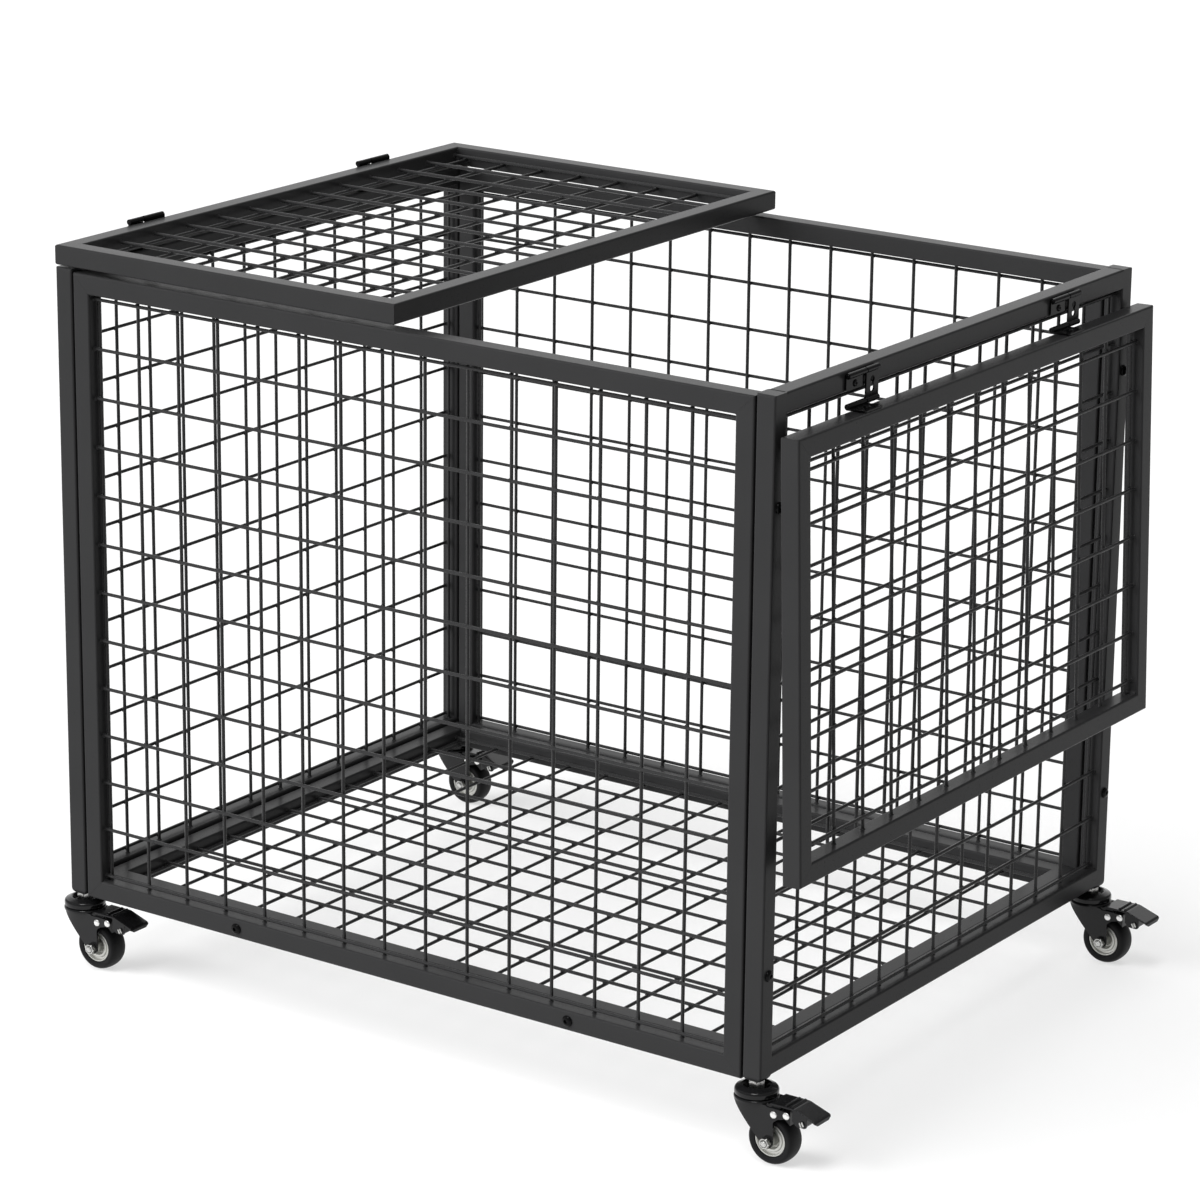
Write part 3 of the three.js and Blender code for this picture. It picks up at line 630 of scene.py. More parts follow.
def hand_over(made: bpy.types.Object, finish: Finish, body: str, *nodes: str) -> None:
    """Dresses a finished piece and hands it to the body that carries it.

    Args:
        made: The piece, in metres.
        finish: Its finish.
        body: The body it moves with.
        nodes: The solids it stands for.
    """
    made.data.materials.clear()
    made.data.materials.append(finish.material())
    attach(made, body)
    if nodes:
        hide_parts(*nodes)
    LOG.info("%s: %d faces on %s", made.name, len(made.data.polygons), body)


def copied(source: bpy.types.Object, name: str, place: Matrix) -> bpy.types.Object:
    """A copy of a pattern piece at another place.

    Args:
        source: The pattern piece, in metres.
        name: The copy's name.
        place: Where the copy goes, in millimetres.

    Returns:
        The copy, its place in its mesh.
    """
    data = source.data.copy()
    data.transform(TO_METRES @ place @ TO_METRES.inverted())
    return linked(name, data)


@dataclass
class NodeBuilder:
    """Builds a Geometry Nodes tree with named inputs."""

    name: str
    tree: bpy.types.NodeTree = field(init=False)
    source: bpy.types.Node = field(init=False)

    def __post_init__(self) -> None:
        """Starts the tree with its geometry input and output."""
        self.tree = bpy.data.node_groups.new(self.name, "GeometryNodeTree")
        self.tree.is_modifier = True
        self.tree.interface.new_socket("Geometry", in_out="OUTPUT", socket_type=Socket.GEOMETRY.value)
        self.tree.interface.new_socket("Geometry", in_out="INPUT", socket_type=Socket.GEOMETRY.value)
        self.source = self.tree.nodes.new("NodeGroupInput")

    def input(self, name: str, kind: Socket) -> bpy.types.NodeSocket:
        """Adds a named input and gives its socket."""
        self.tree.interface.new_socket(name, in_out="INPUT", socket_type=kind.value)
        return self.source.outputs[name]

    def node(self, kind: str, values: dict[str | int, Any], **settings: Any) -> bpy.types.Node:
        """Adds a node.

        Args:
            kind: The node's type.
            values: What each input gets: a socket to link, or a plain value.
            settings: The node's own properties.

        Returns:
            The node.
        """
        made = self.tree.nodes.new(kind)
        for key, value in settings.items():
            setattr(made, key, value)
        for key, value in values.items():
            for one in value if isinstance(value, list) else [value]:
                if isinstance(one, bpy.types.NodeSocket):
                    self.tree.links.new(one, made.inputs[key])
                else:
                    made.inputs[key].default_value = one
        return made

    def sum_of(self, operation: str, first: Any, second: Any) -> bpy.types.NodeSocket:
        """The result of a sum on two numbers."""
        return self.node("ShaderNodeMath", {0: first, 1: second}, operation=operation).outputs[0]

    def vector(self, x: Any = 0.0, y: Any = 0.0, z: Any = 0.0) -> bpy.types.NodeSocket:
        """Three numbers as a vector."""
        return self.node("ShaderNodeCombineXYZ", {"X": x, "Y": y, "Z": z}).outputs[0]

    def close(self, geometry: bpy.types.NodeSocket, material: bpy.types.NodeSocket) -> bpy.types.NodeTree:
        """Ends the tree: its instances become real and get their material.

        Args:
            geometry: What the tree has made.
            material: The material's socket.

        Returns:
            The finished tree.
        """
        real = self.node("GeometryNodeRealizeInstances", {"Geometry": geometry})
        smooth = self.node("GeometryNodeSetShadeSmooth", {"Geometry": real.outputs[0]})
        dressed = self.node(
            "GeometryNodeSetMaterial", {"Geometry": smooth.outputs[0], "Material": material}
        )
        end = self.tree.nodes.new("NodeGroupOutput")
        self.tree.links.new(dressed.outputs[0], end.inputs["Geometry"])
        return self.tree


def grown(
    name: str, tree: bpy.types.NodeTree, values: dict[str, Any], data: bpy.types.Mesh
) -> bpy.types.Object:
    """Runs a node tree once and keeps its result as a plain mesh.

    Args:
        name: The object's name.
        tree: The node tree.
        values: What its named inputs get.
        data: The mesh that it starts from.

    Returns:
        The object, its modifier gone.
    """
    made = linked(name, data)
    maker = made.modifiers.new("Made by rule", "NODES")
    maker.node_group = tree
    for item in tree.interface.items_tree:
        if item.item_type == "SOCKET" and item.in_out == "INPUT" and item.name in values:
            maker[item.identifier] = values[item.name]
    settle(made)
    made.data.set_sharp_from_angle(angle=math.radians(SMOOTH_ANGLE))
    return made


@dataclass
class CopyTree:
    """Puts copies of a small part on points, each turned the way its point faces."""

    tree: bpy.types.NodeTree = field(init=False)

    def __post_init__(self) -> None:
        """Builds the tree."""
        builder = NodeBuilder("small parts on points")
        part = builder.input("Part", Socket.OBJECT)
        material = builder.input("Finish", Socket.MATERIAL)
        info = builder.node("GeometryNodeObjectInfo", {"Object": part, "As Instance": True})
        facing = builder.node(
            "GeometryNodeInputNamedAttribute", {"Name": "outward"}, data_type="FLOAT_VECTOR"
        )
        turned = builder.node(
            "FunctionNodeAlignRotationToVector", {"Vector": facing.outputs["Attribute"]}, axis="Z"
        )
        copies = builder.node(
            "GeometryNodeInstanceOnPoints",
            {
                "Points": builder.source.outputs["Geometry"],
                "Instance": info.outputs["Geometry"],
                "Rotation": turned.outputs["Rotation"],
            },
        )
        self.tree = builder.close(copies.outputs["Instances"], material)

    def place(
        self, name: str, part: bpy.types.Object, spots: Sequence[tuple[Vector, Vector]], finish: Finish
    ) -> bpy.types.Object:
        """Copies a part to each spot.

        Args:
            name: The name of the object that holds the copies.
            part: The small part, in metres, standing on XY and facing +Z. It is used up.
            spots: A place and an outward direction for each copy, in millimetres.
            finish: The copies' finish.

        Returns:
            The object with all the copies.
        """
        data = bpy.data.meshes.new(name)
        data.from_pydata([place * MM for place, _ in spots], [], [])
        outward = data.attributes.new("outward", "FLOAT_VECTOR", "POINT")
        outward.data.foreach_set("vector", [c for _, facing in spots for c in facing])
        made = grown(name, self.tree, {"Part": part, "Finish": finish.material()}, data)
        bpy.data.objects.remove(part)
        return made


@dataclass
class WireMesh:
    """A welded mesh of round wires in two layers, over an opening."""

    opening_width: float
    opening_height: float
    pitch: float = 50.0
    wire_radius: float = 1.75
    layer: float = 1.9
    seat: float = 0.6
    nugget_radius: float = 2.35
    nugget_height: float = 1.25
    bead_radius: float = 2.7
    bead_length: float = 1.3
    wire_sides: int = 10
    ball_segments: int = 8
    ball_rings: int = 4

    def count(self, opening: float) -> int:
        """How many wires stand across an opening."""
        return int((opening - 2 * self.wire_radius) // self.pitch) + 1

    def settings(self) -> dict[str, tuple[Socket, Any]]:
        """The tree's named inputs.

        Returns:
            Each input's kind and what this mesh gives it.
        """
        return {
            "Opening Width": (Socket.NUMBER, self.opening_width),
            "Opening Height": (Socket.NUMBER, self.opening_height),
            "Columns": (Socket.WHOLE, self.count(self.opening_width)),
            "Rows": (Socket.WHOLE, self.count(self.opening_height)),
            "Pitch": (Socket.NUMBER, self.pitch),
            "Wire Radius": (Socket.NUMBER, self.wire_radius),
            "Layer": (Socket.NUMBER, self.layer),
            "Seat": (Socket.NUMBER, self.seat),
            "Nugget Radius": (Socket.NUMBER, self.nugget_radius),
            "Nugget Height": (Socket.NUMBER, self.nugget_height),
            "Bead Radius": (Socket.NUMBER, self.bead_radius),
            "Bead Length": (Socket.NUMBER, self.bead_length),
            "Finish": (Socket.MATERIAL, WIRE_COAT.material()),
        }

    def tree(self) -> bpy.types.NodeTree:
        """The tree that makes the wires and their welds.

        Returns:
            The tree, made once.
        """
        made = bpy.data.node_groups.get("welded wires")
        if made is not None:
            return made
        build = NodeBuilder("welded wires")
        inputs = {name: build.input(name, kind) for name, (kind, _) in self.settings().items()}
        ball = build.node(
            "GeometryNodeMeshUVSphere",
            {"Segments": self.ball_segments, "Rings": self.ball_rings, "Radius": 1.0},
        ).outputs[0]
        parts = self.wires(build, inputs, ball, True) + self.wires(build, inputs, ball, False)
        parts.append(self.nuggets(build, inputs, ball))
        joined = build.node("GeometryNodeJoinGeometry", {"Geometry": parts})
        return build.close(joined.outputs[0], inputs["Finish"])

    def wires(
        self,
        build: NodeBuilder,
        inputs: dict[str, bpy.types.NodeSocket],
        ball: bpy.types.NodeSocket,
        along_x: bool,
    ) -> list[bpy.types.NodeSocket]:
        """A layer of parallel wires, with a weld bead at both ends of each.

        Args:
            build: What builds the tree.
            inputs: The tree's named inputs.
            ball: A ball of radius 1 that is scaled to a bead.
            along_x: Whether the wires lie along X, on the mesh's +Z side, or along Y, on its other side.

        Returns:
            The wires, and the beads of either end.
        """

        def lying(along: Any, across: Any, level: Any = 0.0) -> bpy.types.NodeSocket:
            """Three numbers as a vector, the first of them along the wires."""
            return build.vector(along, across, level) if along_x else build.vector(across, along, level)

        count = inputs["Rows" if along_x else "Columns"]
        opening = inputs["Opening Width" if along_x else "Opening Height"]
        pitch = inputs["Pitch"]
        level = inputs["Layer"] if along_x else build.sum_of("MULTIPLY", inputs["Layer"], -1.0)
        spaces = build.sum_of("SUBTRACT", count, 1.0)
        first = build.sum_of("MULTIPLY", build.sum_of("MULTIPLY", spaces, pitch), -0.5)
        line = build.node(
            "GeometryNodeMeshLine",
            {"Count": count, "Start Location": lying(0.0, first, level), "Offset": lying(0.0, pitch)},
            mode="OFFSET",
        ).outputs[0]
        reach = build.sum_of("ADD", build.sum_of("MULTIPLY", opening, 0.5), inputs["Seat"])
        back = build.sum_of("MULTIPLY", reach, -1.0)
        path = build.node(
            "GeometryNodeCurvePrimitiveLine", {"Start": lying(back, 0.0), "End": lying(reach, 0.0)}
        )
        circle = build.node(
            "GeometryNodeCurvePrimitiveCircle",
            {"Resolution": self.wire_sides, "Radius": inputs["Wire Radius"]},
        )
        wire = build.node(
            "GeometryNodeCurveToMesh",
            {"Curve": path.outputs[0], "Profile Curve": circle.outputs[0], "Fill Caps": True},
        )
        made = build.node("GeometryNodeInstanceOnPoints", {"Points": line, "Instance": wire.outputs[0]})
        parts = [made.outputs[0]]
        bead_size = lying(inputs["Bead Length"], inputs["Bead Radius"], inputs["Bead Radius"])
        for side in (-0.5, 0.5):
            edge = build.sum_of("MULTIPLY", opening, side)
            move = lying(edge, 0.0)
            ends = build.node("GeometryNodeTransform", {"Geometry": line, "Translation": move})
            beads = build.node(
                "GeometryNodeInstanceOnPoints",
                {"Points": ends.outputs[0], "Instance": ball, "Scale": bead_size},
            )
            parts.append(beads.outputs[0])
        return parts

    def nuggets(
        self, build: NodeBuilder, inputs: dict[str, bpy.types.NodeSocket], ball: bpy.types.NodeSocket
    ) -> bpy.types.NodeSocket:
        """The weld nuggets where the wires cross.

        Args:
            build: What builds the tree.
            inputs: The tree's named inputs.
            ball: A ball of radius 1 that is scaled to a nugget.

        Returns:
            The nuggets.
        """
        columns, rows, pitch = inputs["Columns"], inputs["Rows"], inputs["Pitch"]
        across = build.sum_of("MULTIPLY", build.sum_of("SUBTRACT", columns, 1.0), pitch)
        up = build.sum_of("MULTIPLY", build.sum_of("SUBTRACT", rows, 1.0), pitch)
        grid = build.node(
            "GeometryNodeMeshGrid",
            {"Size X": across, "Size Y": up, "Vertices X": columns, "Vertices Y": rows},
        )
        size = build.vector(inputs["Nugget Radius"], inputs["Nugget Radius"], inputs["Nugget Height"])
        made = build.node(
            "GeometryNodeInstanceOnPoints", {"Points": grid.outputs[0], "Instance": ball, "Scale": size}
        )
        return made.outputs[0]

    def build(self, name: str, place: Matrix) -> bpy.types.Object:
        """Makes the mesh at its place.

        Args:
            name: The object's name.
            place: Where the opening's middle is, in millimetres.

        Returns:
            The wires as one object, in metres.
        """
        values = {key: value for key, (_, value) in self.settings().items()}
        made = grown(name, self.tree(), values, bpy.data.meshes.new(name))
        made.data.transform(TO_METRES @ place)
        return made


@dataclass
class MeshPanel:
    """A frame of square tube with mitred corners, and the wire mesh welded into it."""

    node: str
    body: str
    width: float
    height: float
    place: Matrix
    tube: float = 20.0
    corner: float = 2.0
    corner_steps: int = 4
    groove: float = 0.08
    groove_depth: float = 0.1
    weld_leg: float = 3.0
    weld_sink: float = 0.3
    weld_inset: float = 0.5
    weld_steps: int = 6

    def section(self, shrink: float = 0.0) -> list[Point]:
        """The tube's rounded square section.

        Args:
            shrink: How far it is taken in on each side.

        Returns:
            Its points, offset from the tube's middle.
        """
        half = self.tube / 2
        corners = [(-half, -half), (half, -half), (half, half), (-half, half)]
        scale = (half - shrink) / half
        outline = rounded(corners, [self.corner] * 4, self.corner_steps)
        return [(x * scale, y * scale) for x, y in outline]

    def tubes(self, maker: Maker) -> None:
        """Adds the four mitred tubes, a fine groove at each mitre.

        Args:
            maker: What collects the shells.
        """
        half_width = (self.width - self.tube) / 2
        half_height = (self.height - self.tube) / 2
        corners = [(-1, -1), (1, -1), (1, 1), (-1, 1)]
        full = self.section()
        sunk = self.section(self.groove_depth)
        for k, start in enumerate(corners):
            end = corners[(k + 1) % 4]
            along = Vector((end[0] - start[0], end[1] - start[1], 0)).normalized()
            rings = []
            for corner, outline, move in (
                (start, sunk, 0.0),
                (start, full, self.groove),
                (end, full, -self.groove),
                (end, sunk, 0.0),
            ):
                ring = []
                for out, rise in outline:
                    x, y = corner[0] * (half_width + out), corner[1] * (half_height + out)
                    ring.append(Vector((x, y, rise)) + along * move)
                rings.append(ring)
            maker.skin(rings)
        across, up = half_width - self.tube / 2, half_height - self.tube / 2
        self.welds(maker, [(x * across, y * up, x, y) for x, y in corners])

    def welds(self, maker: Maker, spots: Sequence[tuple[float, float, int, int]]) -> None:
        """Adds a small ground weld in each inner corner.

        Args:
            maker: What collects the shells.
            spots: Each corner's place, and the signs of the way it points.
        """
        leg, sink = self.weld_leg, self.weld_sink
        depth = self.tube - 2 * (self.corner + self.weld_inset)
        hollow = arc((-leg, -leg), leg, 0, 90, self.weld_steps)
        outline = [(sink, sink), (sink, -leg), *hollow, (-leg, sink)]
        for x, y, right, up in spots:
            placed = [(x + right * out, y + up * rise) for out, rise in outline]
            maker.plate(placed, depth)

    def wires(self) -> WireMesh:
        """The wire mesh that fills the frame."""
        return WireMesh(self.width - 2 * self.tube, self.height - 2 * self.tube)

    def wires_place(self) -> Matrix:
        """Where the middle of the wire mesh is."""
        return self.place

    def build(self) -> None:
        """Makes the tubes and the wires and hands them over."""
        maker = Maker()
        self.tubes(maker)
        made = maker.finish(f"{self.node}_tubes", place=self.place)
        hand_over(made, POWDER_COAT, self.body, self.node)
        wires = self.wires().build(f"{self.node}_wires", self.wires_place())
        hand_over(wires, WIRE_COAT, self.body)


@dataclass
class EndPanel(MeshPanel):
    """An end of the cage: two posts with tapered feet, two rails between them, and the mesh."""

    rail_rise: float = 3.0
    foot_height: float = 5.5
    foot_width: float = 12.6
    foot_steps: int = 5
    top_corners: tuple[float, float] = (2.4, 2.4)
    top_steps: int = 5

    def tubes(self, maker: Maker) -> None:
        """Adds the two posts and the two rails.

        Args:
            maker: What collects the shells.
        """
        for side in (-1, 1):
            self.post(maker, side)
        low = self.rail_rise + self.tube / 2
        high = self.height - self.tube / 2
        for y in (low, high):
            self.rail(maker, y)
        across = self.width / 2 - self.tube
        levels = ((low + self.tube / 2, -1), (high - self.tube / 2, 1))
        self.welds(maker, [(side * across, y, side, up) for side in (-1, 1) for y, up in levels])

    def post(self, maker: Maker, side: int) -> None:
        """Adds one post with a rounded foot and a rounded outer top corner.

        Args:
            maker: What collects the shells.
            side: -1 or 1, the side of the panel it stands on.
        """
        middle = side * (self.width - self.tube) / 2
        half = self.tube / 2
        full = self.section()
        top_corner = self.top_corners[(side + 1) // 2]
        foot_taper = 1 - self.foot_width / self.tube
        levels = []
        for step in range(self.foot_steps + 1):
            angle = math.pi / 2 * (1 - step / self.foot_steps)
            rise = self.foot_height * (1 - math.sin(angle))
            levels.append((rise, 1 - foot_taper * (1 - math.cos(angle)), half))
        for step in range(self.top_steps + 1):
            angle = math.pi / 2 * step / self.top_steps
            drop = top_corner * (1 - math.sin(angle))
            limit = half - top_corner * (1 - math.cos(angle))
            levels.append((self.height - drop, 1.0, limit))
        rings = []
        for y, scale, limit in levels:
            ring = []
            for out, rise in full:
                across = side * min(side * out * scale, limit)
                ring.append(Vector((middle + across, y, rise * scale)))
            rings.append(ring)
        maker.skin(rings)

    def rail(self, maker: Maker, y: float) -> None:
        """Adds one rail, run over the rounded edges of both posts as where the weld is ground flat.

        Args:
            maker: What collects the shells.
            y: The height of its middle.
        """
        reach = self.width / 2 - self.tube + self.corner
        full = self.section()
        maker.skin([[Vector((x, y + out, rise)) for out, rise in full] for x in (-reach, reach)])

    def opening_height(self) -> float:
        """The height of the opening between the rails."""
        return self.height - self.rail_rise - 2 * self.tube

    def wires(self) -> WireMesh:
        """The wire mesh between the posts and the rails."""
        return WireMesh(self.width - 2 * self.tube, self.opening_height())

    def wires_place(self) -> Matrix:
        """Where the middle of the wire mesh is."""
        return self.place @ shift(y=self.rail_rise + self.tube + self.opening_height() / 2)


@dataclass(frozen=True)
class CageSize:
    """The sizes that the panels, bolts, lids and casters share."""

    middle: float
    stand: float
    length: float = 840.0
    depth: float = 650.0
    post_height: float = 653.0
    tube: float = MeshPanel.tube
    gap: float = 2.0

    def post_x(self) -> float:
        """How far a post is from the cage's middle along X."""
        return (self.length - self.tube) / 2

    def post_y(self) -> float:
        """How far a post is from the cage's middle along Y."""
        return (self.depth - self.tube) / 2


@dataclass
class Bolts:
    """The button-head bolts that hold the panels together."""

    copies: CopyTree
    cage: CageSize
    floor_spread: float = 404.0
    post_heights: tuple[float, float] = (181.5, 626.5)
    gap: float = 0.3
    sides: int = 24
    head_radius: float = 5.5
    head_height: float = 2.8
    foot_inset: float = 0.5
    skirt_heights: tuple[float, float] = (0.15, 0.6)
    dome_shares: tuple[Point, ...] = ((0.93, 0.52), (0.78, 0.8), (0.58, 0.96))
    socket_radius: float = 1.9
    socket_depth: float = 1.7
    socket_chamfer: float = 0.3
    socket_mouth_share: float = 1.12
    socket_corner_share: float = 1.08

    def head(self) -> bpy.types.Object:
        """One domed head with a hexagonal socket, standing on XY and facing +Z.

        Returns:
            The head.
        """
        angles = around(self.sides)
        dome = [(self.head_radius - self.foot_inset, -self.gap)]
        dome += [(self.head_radius, height) for height in self.skirt_heights]
        dome += [(self.head_radius * out, self.head_height * up) for out, up in self.dome_shares]
        rings = [[Vector((r * math.cos(a), r * math.sin(a), z)) for a in angles] for r, z in dome]
        socket = [
            (self.socket_radius * self.socket_mouth_share, self.head_height),
            (self.socket_radius, self.head_height - self.socket_chamfer),
            (self.socket_radius, self.head_height - self.socket_depth),
        ]
        for radius, z in socket:
            reach = [hexagon_reach(a, radius * self.socket_corner_share) for a in angles]
            rings.append([Vector((r * math.cos(a), r * math.sin(a), z)) for r, a in zip(reach, angles)])
        maker = Maker()
        maker.skin(rings)
        return maker.finish("bolt_head_pattern")

    def build(self) -> None:
        """Puts a head on each of the twelve places."""
        cage = self.cage
        spots: list[tuple[Vector, Vector]] = []
        nodes: list[str] = []
        for end, sign in ENDS:
            floor_x = cage.middle + sign * self.floor_spread / 2
            end_face = cage.middle + sign * (cage.length / 2 + self.gap)
            for row, way in ROWS:
                side_face = way * (cage.depth / 2 + self.gap)
                nodes.append(f"{row}_{end}_floor_bolt")
                floor_spot = Vector((floor_x, side_face, cage.stand + cage.tube / 2))
                spots.append((floor_spot, Vector((0, way, 0))))
                for level, z in zip(("lower", "upper"), self.post_heights):
                    nodes.append(f"{end}_{row}_{level}_bolt")
                    spots.append((Vector((end_face, way * cage.post_y(), z)), Vector((sign, 0, 0))))
        made = self.copies.place("panel_bolts", self.head(), spots, BOLT_BLACK)
        hand_over(made, BOLT_BLACK, "cage", *nodes)


@dataclass
class Hinge:
    """A double-pin hinge: a leaf on the end rail, a slotted link with both pins, and a leaf on the lid.

    The screw's dome and its recess are drawn as points of (radius, height over the leaf).
    """

    end: str
    row: str
    rail_place: Matrix
    link_place: Matrix
    lid_place: Matrix
    width: float = 52.0
    link_length: float = 28.5
    plate: float = 1.8
    back: float = -3.0
    side_gap: float = 1.0
    sides: int = 24
    leaf_width: float = 30.0
    leaf_rise: float = 0.6
    leaf_corner: float = 2.5
    corner_steps: int = 5
    rail_leaf_length: float = 14.5
    lid_leaf_length: float = 20.0
    rail_screw_drop: float = 9.0
    lid_screw_drop: float = 12.0
    screw_dome: tuple[Point, ...] = ((3.4, -0.1), (3.4, 0.35), (3.05, 0.95), (2.3, 1.4), (1.75, 1.5))
    screw_recess: tuple[Point, ...] = ((1.15, 1.35), (1.0, 0.6))
    recess_arms: int = 4
    recess_share: float = 0.42
    knuckle_radius: float = 2.9
    knuckle_rim: float = 0.35
    pin_radius: float = 1.6
    pin_clearance: float = 0.15
    pin_chamfer: float = 0.4
    pin_sides: int = 20
    slot_radius: float = 3.4
    slot_spread: float = 8.0
    slot_waist: float = 1.87
    slot_steps: int = 20

    def knuckle(self, maker: Maker, low: float, high: float, z: float = 0.0) -> None:
        """Adds a rolled knuckle round a pin, as a tube with rounded rims.

        Args:
            maker: What collects the shells.
            low: Where it starts along Y.
            high: Where it ends.
            z: The height of its pin.
        """
        bore = self.pin_radius + self.pin_clearance
        outer, rim = self.knuckle_radius, self.knuckle_rim
        profile = [
            (bore, low + rim / 2),
            (bore + rim, low),
            (outer - rim, low),
            (outer, low + rim),
            (outer, high - rim),
            (outer - rim, high),
            (bore + rim, high),
            (bore, high - rim / 2),
        ]
        maker.turned(profile, Axis.Y, (0, 0, z), self.sides, looped=True)

    def pin(self, maker: Maker, z: float) -> None:
        """Adds a pin as long as the whole hinge, its ends chamfered.

        Args:
            maker: What collects the shells.
            z: Its height.
        """
        end, radius, chamfer = self.width / 2, self.pin_radius, self.pin_chamfer
        profile = [
            (0.0, -end),
            (radius - chamfer, -end),
            (radius, -end + chamfer),
            (radius, end - chamfer),
            (radius - chamfer, end),
            (0.0, end),
        ]
        maker.turned(profile, Axis.Y, (0, 0, z), self.pin_sides)

    def screw(self, maker: Maker, y: float, drop: float) -> None:
        """Adds a leaf's domed screw with its cross recess.

        Args:
            maker: What collects the shells.
            y: Where it is along Y.
            drop: How far it is below the pin.
        """
        face = self.back + self.plate
        angles = around(self.sides)
        shapes = [([radius] * self.sides, out) for radius, out in self.screw_dome]
        wave = [1.0 + self.recess_share * math.cos(self.recess_arms * a) for a in angles]
        shapes += [([radius * w for w in wave], out) for radius, out in self.screw_recess]
        rings = []
        for reaches, out in shapes:
            spots = [(y + r * math.cos(a), -drop + r * math.sin(a)) for r, a in zip(reaches, angles)]
            rings.append([Vector((face + out, across, up)) for across, up in spots])
        maker.skin(rings)

    def leaf(self, name: str, length: float, screw_drop: float, place: Matrix) -> bpy.types.Object:
        """A leaf with its knuckle and its screw.

        Args:
            name: The object's name.
            length: How far the plate hangs below the pin.
            screw_drop: How far its screw is below the pin.
            place: Where the pin's middle is.

        Returns:
            The leaf as one object.
        """
        maker = Maker()
        middle = (self.leaf_width - self.width) / 2
        low, high = middle - self.leaf_width / 2, middle + self.leaf_width / 2
        corners = [(low, self.leaf_rise), (low, -length), (high, -length), (high, self.leaf_rise)]
        outline = rounded(corners, [0.0, self.leaf_corner, self.leaf_corner, 0.0], self.corner_steps)
        maker.plate(outline, self.plate, shift(x=self.back + self.plate / 2) @ upright())
        self.knuckle(maker, low, high)
        self.screw(maker, middle, screw_drop)
        return maker.finish(name, bevel=0.3, bevel_angle=50, place=place)

    def link(self, name: str, place: Matrix) -> bpy.types.Object:
        """The link plate with its waisted slot, its knuckles and both pins.

        Args:
            name: The object's name.
            place: Where the lower pin's middle is.

        Returns:
            The link as one object.
        """
        maker = Maker()
        end = self.width / 2
        start = self.leaf_width + self.side_gap - end
        low = self.knuckle_radius / 2
        high = self.link_length - low
        opening = math.degrees(math.asin(self.slot_waist / self.slot_radius))
        slot: list[Point] = []
        for side, waist in ((1, -90), (-1, 90)):
            centre = ((start + end) / 2, (self.link_length + side * self.slot_spread) / 2)
            first, last = waist + opening, waist + 360 - opening
            slot += arc(centre, self.slot_radius, first, last, self.slot_steps)
        corners = [(start, low), (end, low), (end, high), (start, high)]
        maker.plate(corners, self.plate, upright(), holes=[slot])
        for z in (0.0, self.link_length):
            self.knuckle(maker, start, end, z)
            self.pin(maker, z)
        return maker.finish(name, bevel=0.25, bevel_angle=50, place=place)

    def build(self) -> None:
        """Makes the three pieces and hands them over."""
        name = f"{self.end}_{self.row}_hinge"
        rail = self.leaf(
            f"{name}_rail_leaf_piece", self.rail_leaf_length, self.rail_screw_drop, self.rail_place
        )
        hand_over(rail, HINGE_BLACK_AND_SHADE, "cage", f"{name}_rail_leaf")
        link = self.link(f"{name}_link_piece", self.link_place)
        hand_over(link, HINGE_BLACK_AND_SHADE, f"{self.end}_hinge_links", f"{name}_link")
        lid = self.leaf(
            f"{name}_lid_leaf_piece", self.lid_leaf_length, self.lid_screw_drop, self.lid_place
        )
        hand_over(lid, HINGE_BLACK_AND_SHADE, f"{self.end}_lid_with_leaves", f"{name}_lid_leaf")


@dataclass
class LidSide:
    """A lid with its two hinges, at one end of the cage."""

    end: str
    cage: CageSize
    link_turn: float
    lid_turn: float
    lid_length: float = 418.0
    pin_out: float = 3.3
    pin_rise: float = 2.0
    pin_height: float = 726.0
    link_length: float = Hinge.link_length
    hinge_spread: float = 370.0

    def side_frame(self) -> Matrix:
        """The frame of the lower pins, +X outwards.

        Returns:
            The frame, in millimetres.
        """
        sign = 1 if self.end == "right" else -1
        out = self.cage.middle + sign * (self.cage.length / 2 + self.pin_out)
        return shift(out, 0, self.pin_height) @ turn(0 if sign > 0 else 180, "Z")

    def link_frame(self) -> Matrix:
        """The frame of the links."""
        return self.side_frame() @ turn(self.link_turn, "Y")

    def lid_frame(self) -> Matrix:
        """The frame of the lid and its leaves, at the upper pins."""
        return self.link_frame() @ shift(z=self.link_length) @ turn(self.lid_turn, "Y")

    def build(self) -> None:
        """Makes the lid and its hinges."""
        middle = shift(-self.pin_out - self.lid_length / 2, 0, -self.pin_rise - self.cage.tube / 2)
        body = f"{self.end}_lid_with_leaves"
        panel_place = self.lid_frame() @ middle
        MeshPanel(f"{self.end}_lid", body, self.lid_length, self.cage.depth, panel_place).build()
        frames = (self.side_frame(), self.link_frame(), self.lid_frame())
        rows = ("front", "back") if self.end == "right" else ("back", "front")
        for row, y in zip(rows, (-self.hinge_spread / 2, self.hinge_spread / 2)):
            places = [place @ shift(y=y) for place in frames]
            Hinge(self.end, row, *places, link_length=self.link_length).build()


@dataclass(frozen=True)
class CasterSize:
    """The sizes that a caster's parts share. Its stem stands on Z, and its wheel trails towards +X."""

    height: float = 77.5
    trail: float = 21.5
    wheel_radius: float = 25.0
    fork_inside: float = 26.4
    fork_plate: float = 2.0
    disc_radius: float = 21.5
    disc_bottom: float = 60.0
    pivot: Point = (28.5, 54.0)

    def fork_half(self) -> float:
        """Half the fork's width, measured outside."""
        return self.fork_inside / 2 + self.fork_plate

    def wheel_middle(self) -> Spot:
        """The middle of the wheel and of its axle."""
        return (self.trail, 0.0, self.wheel_radius)


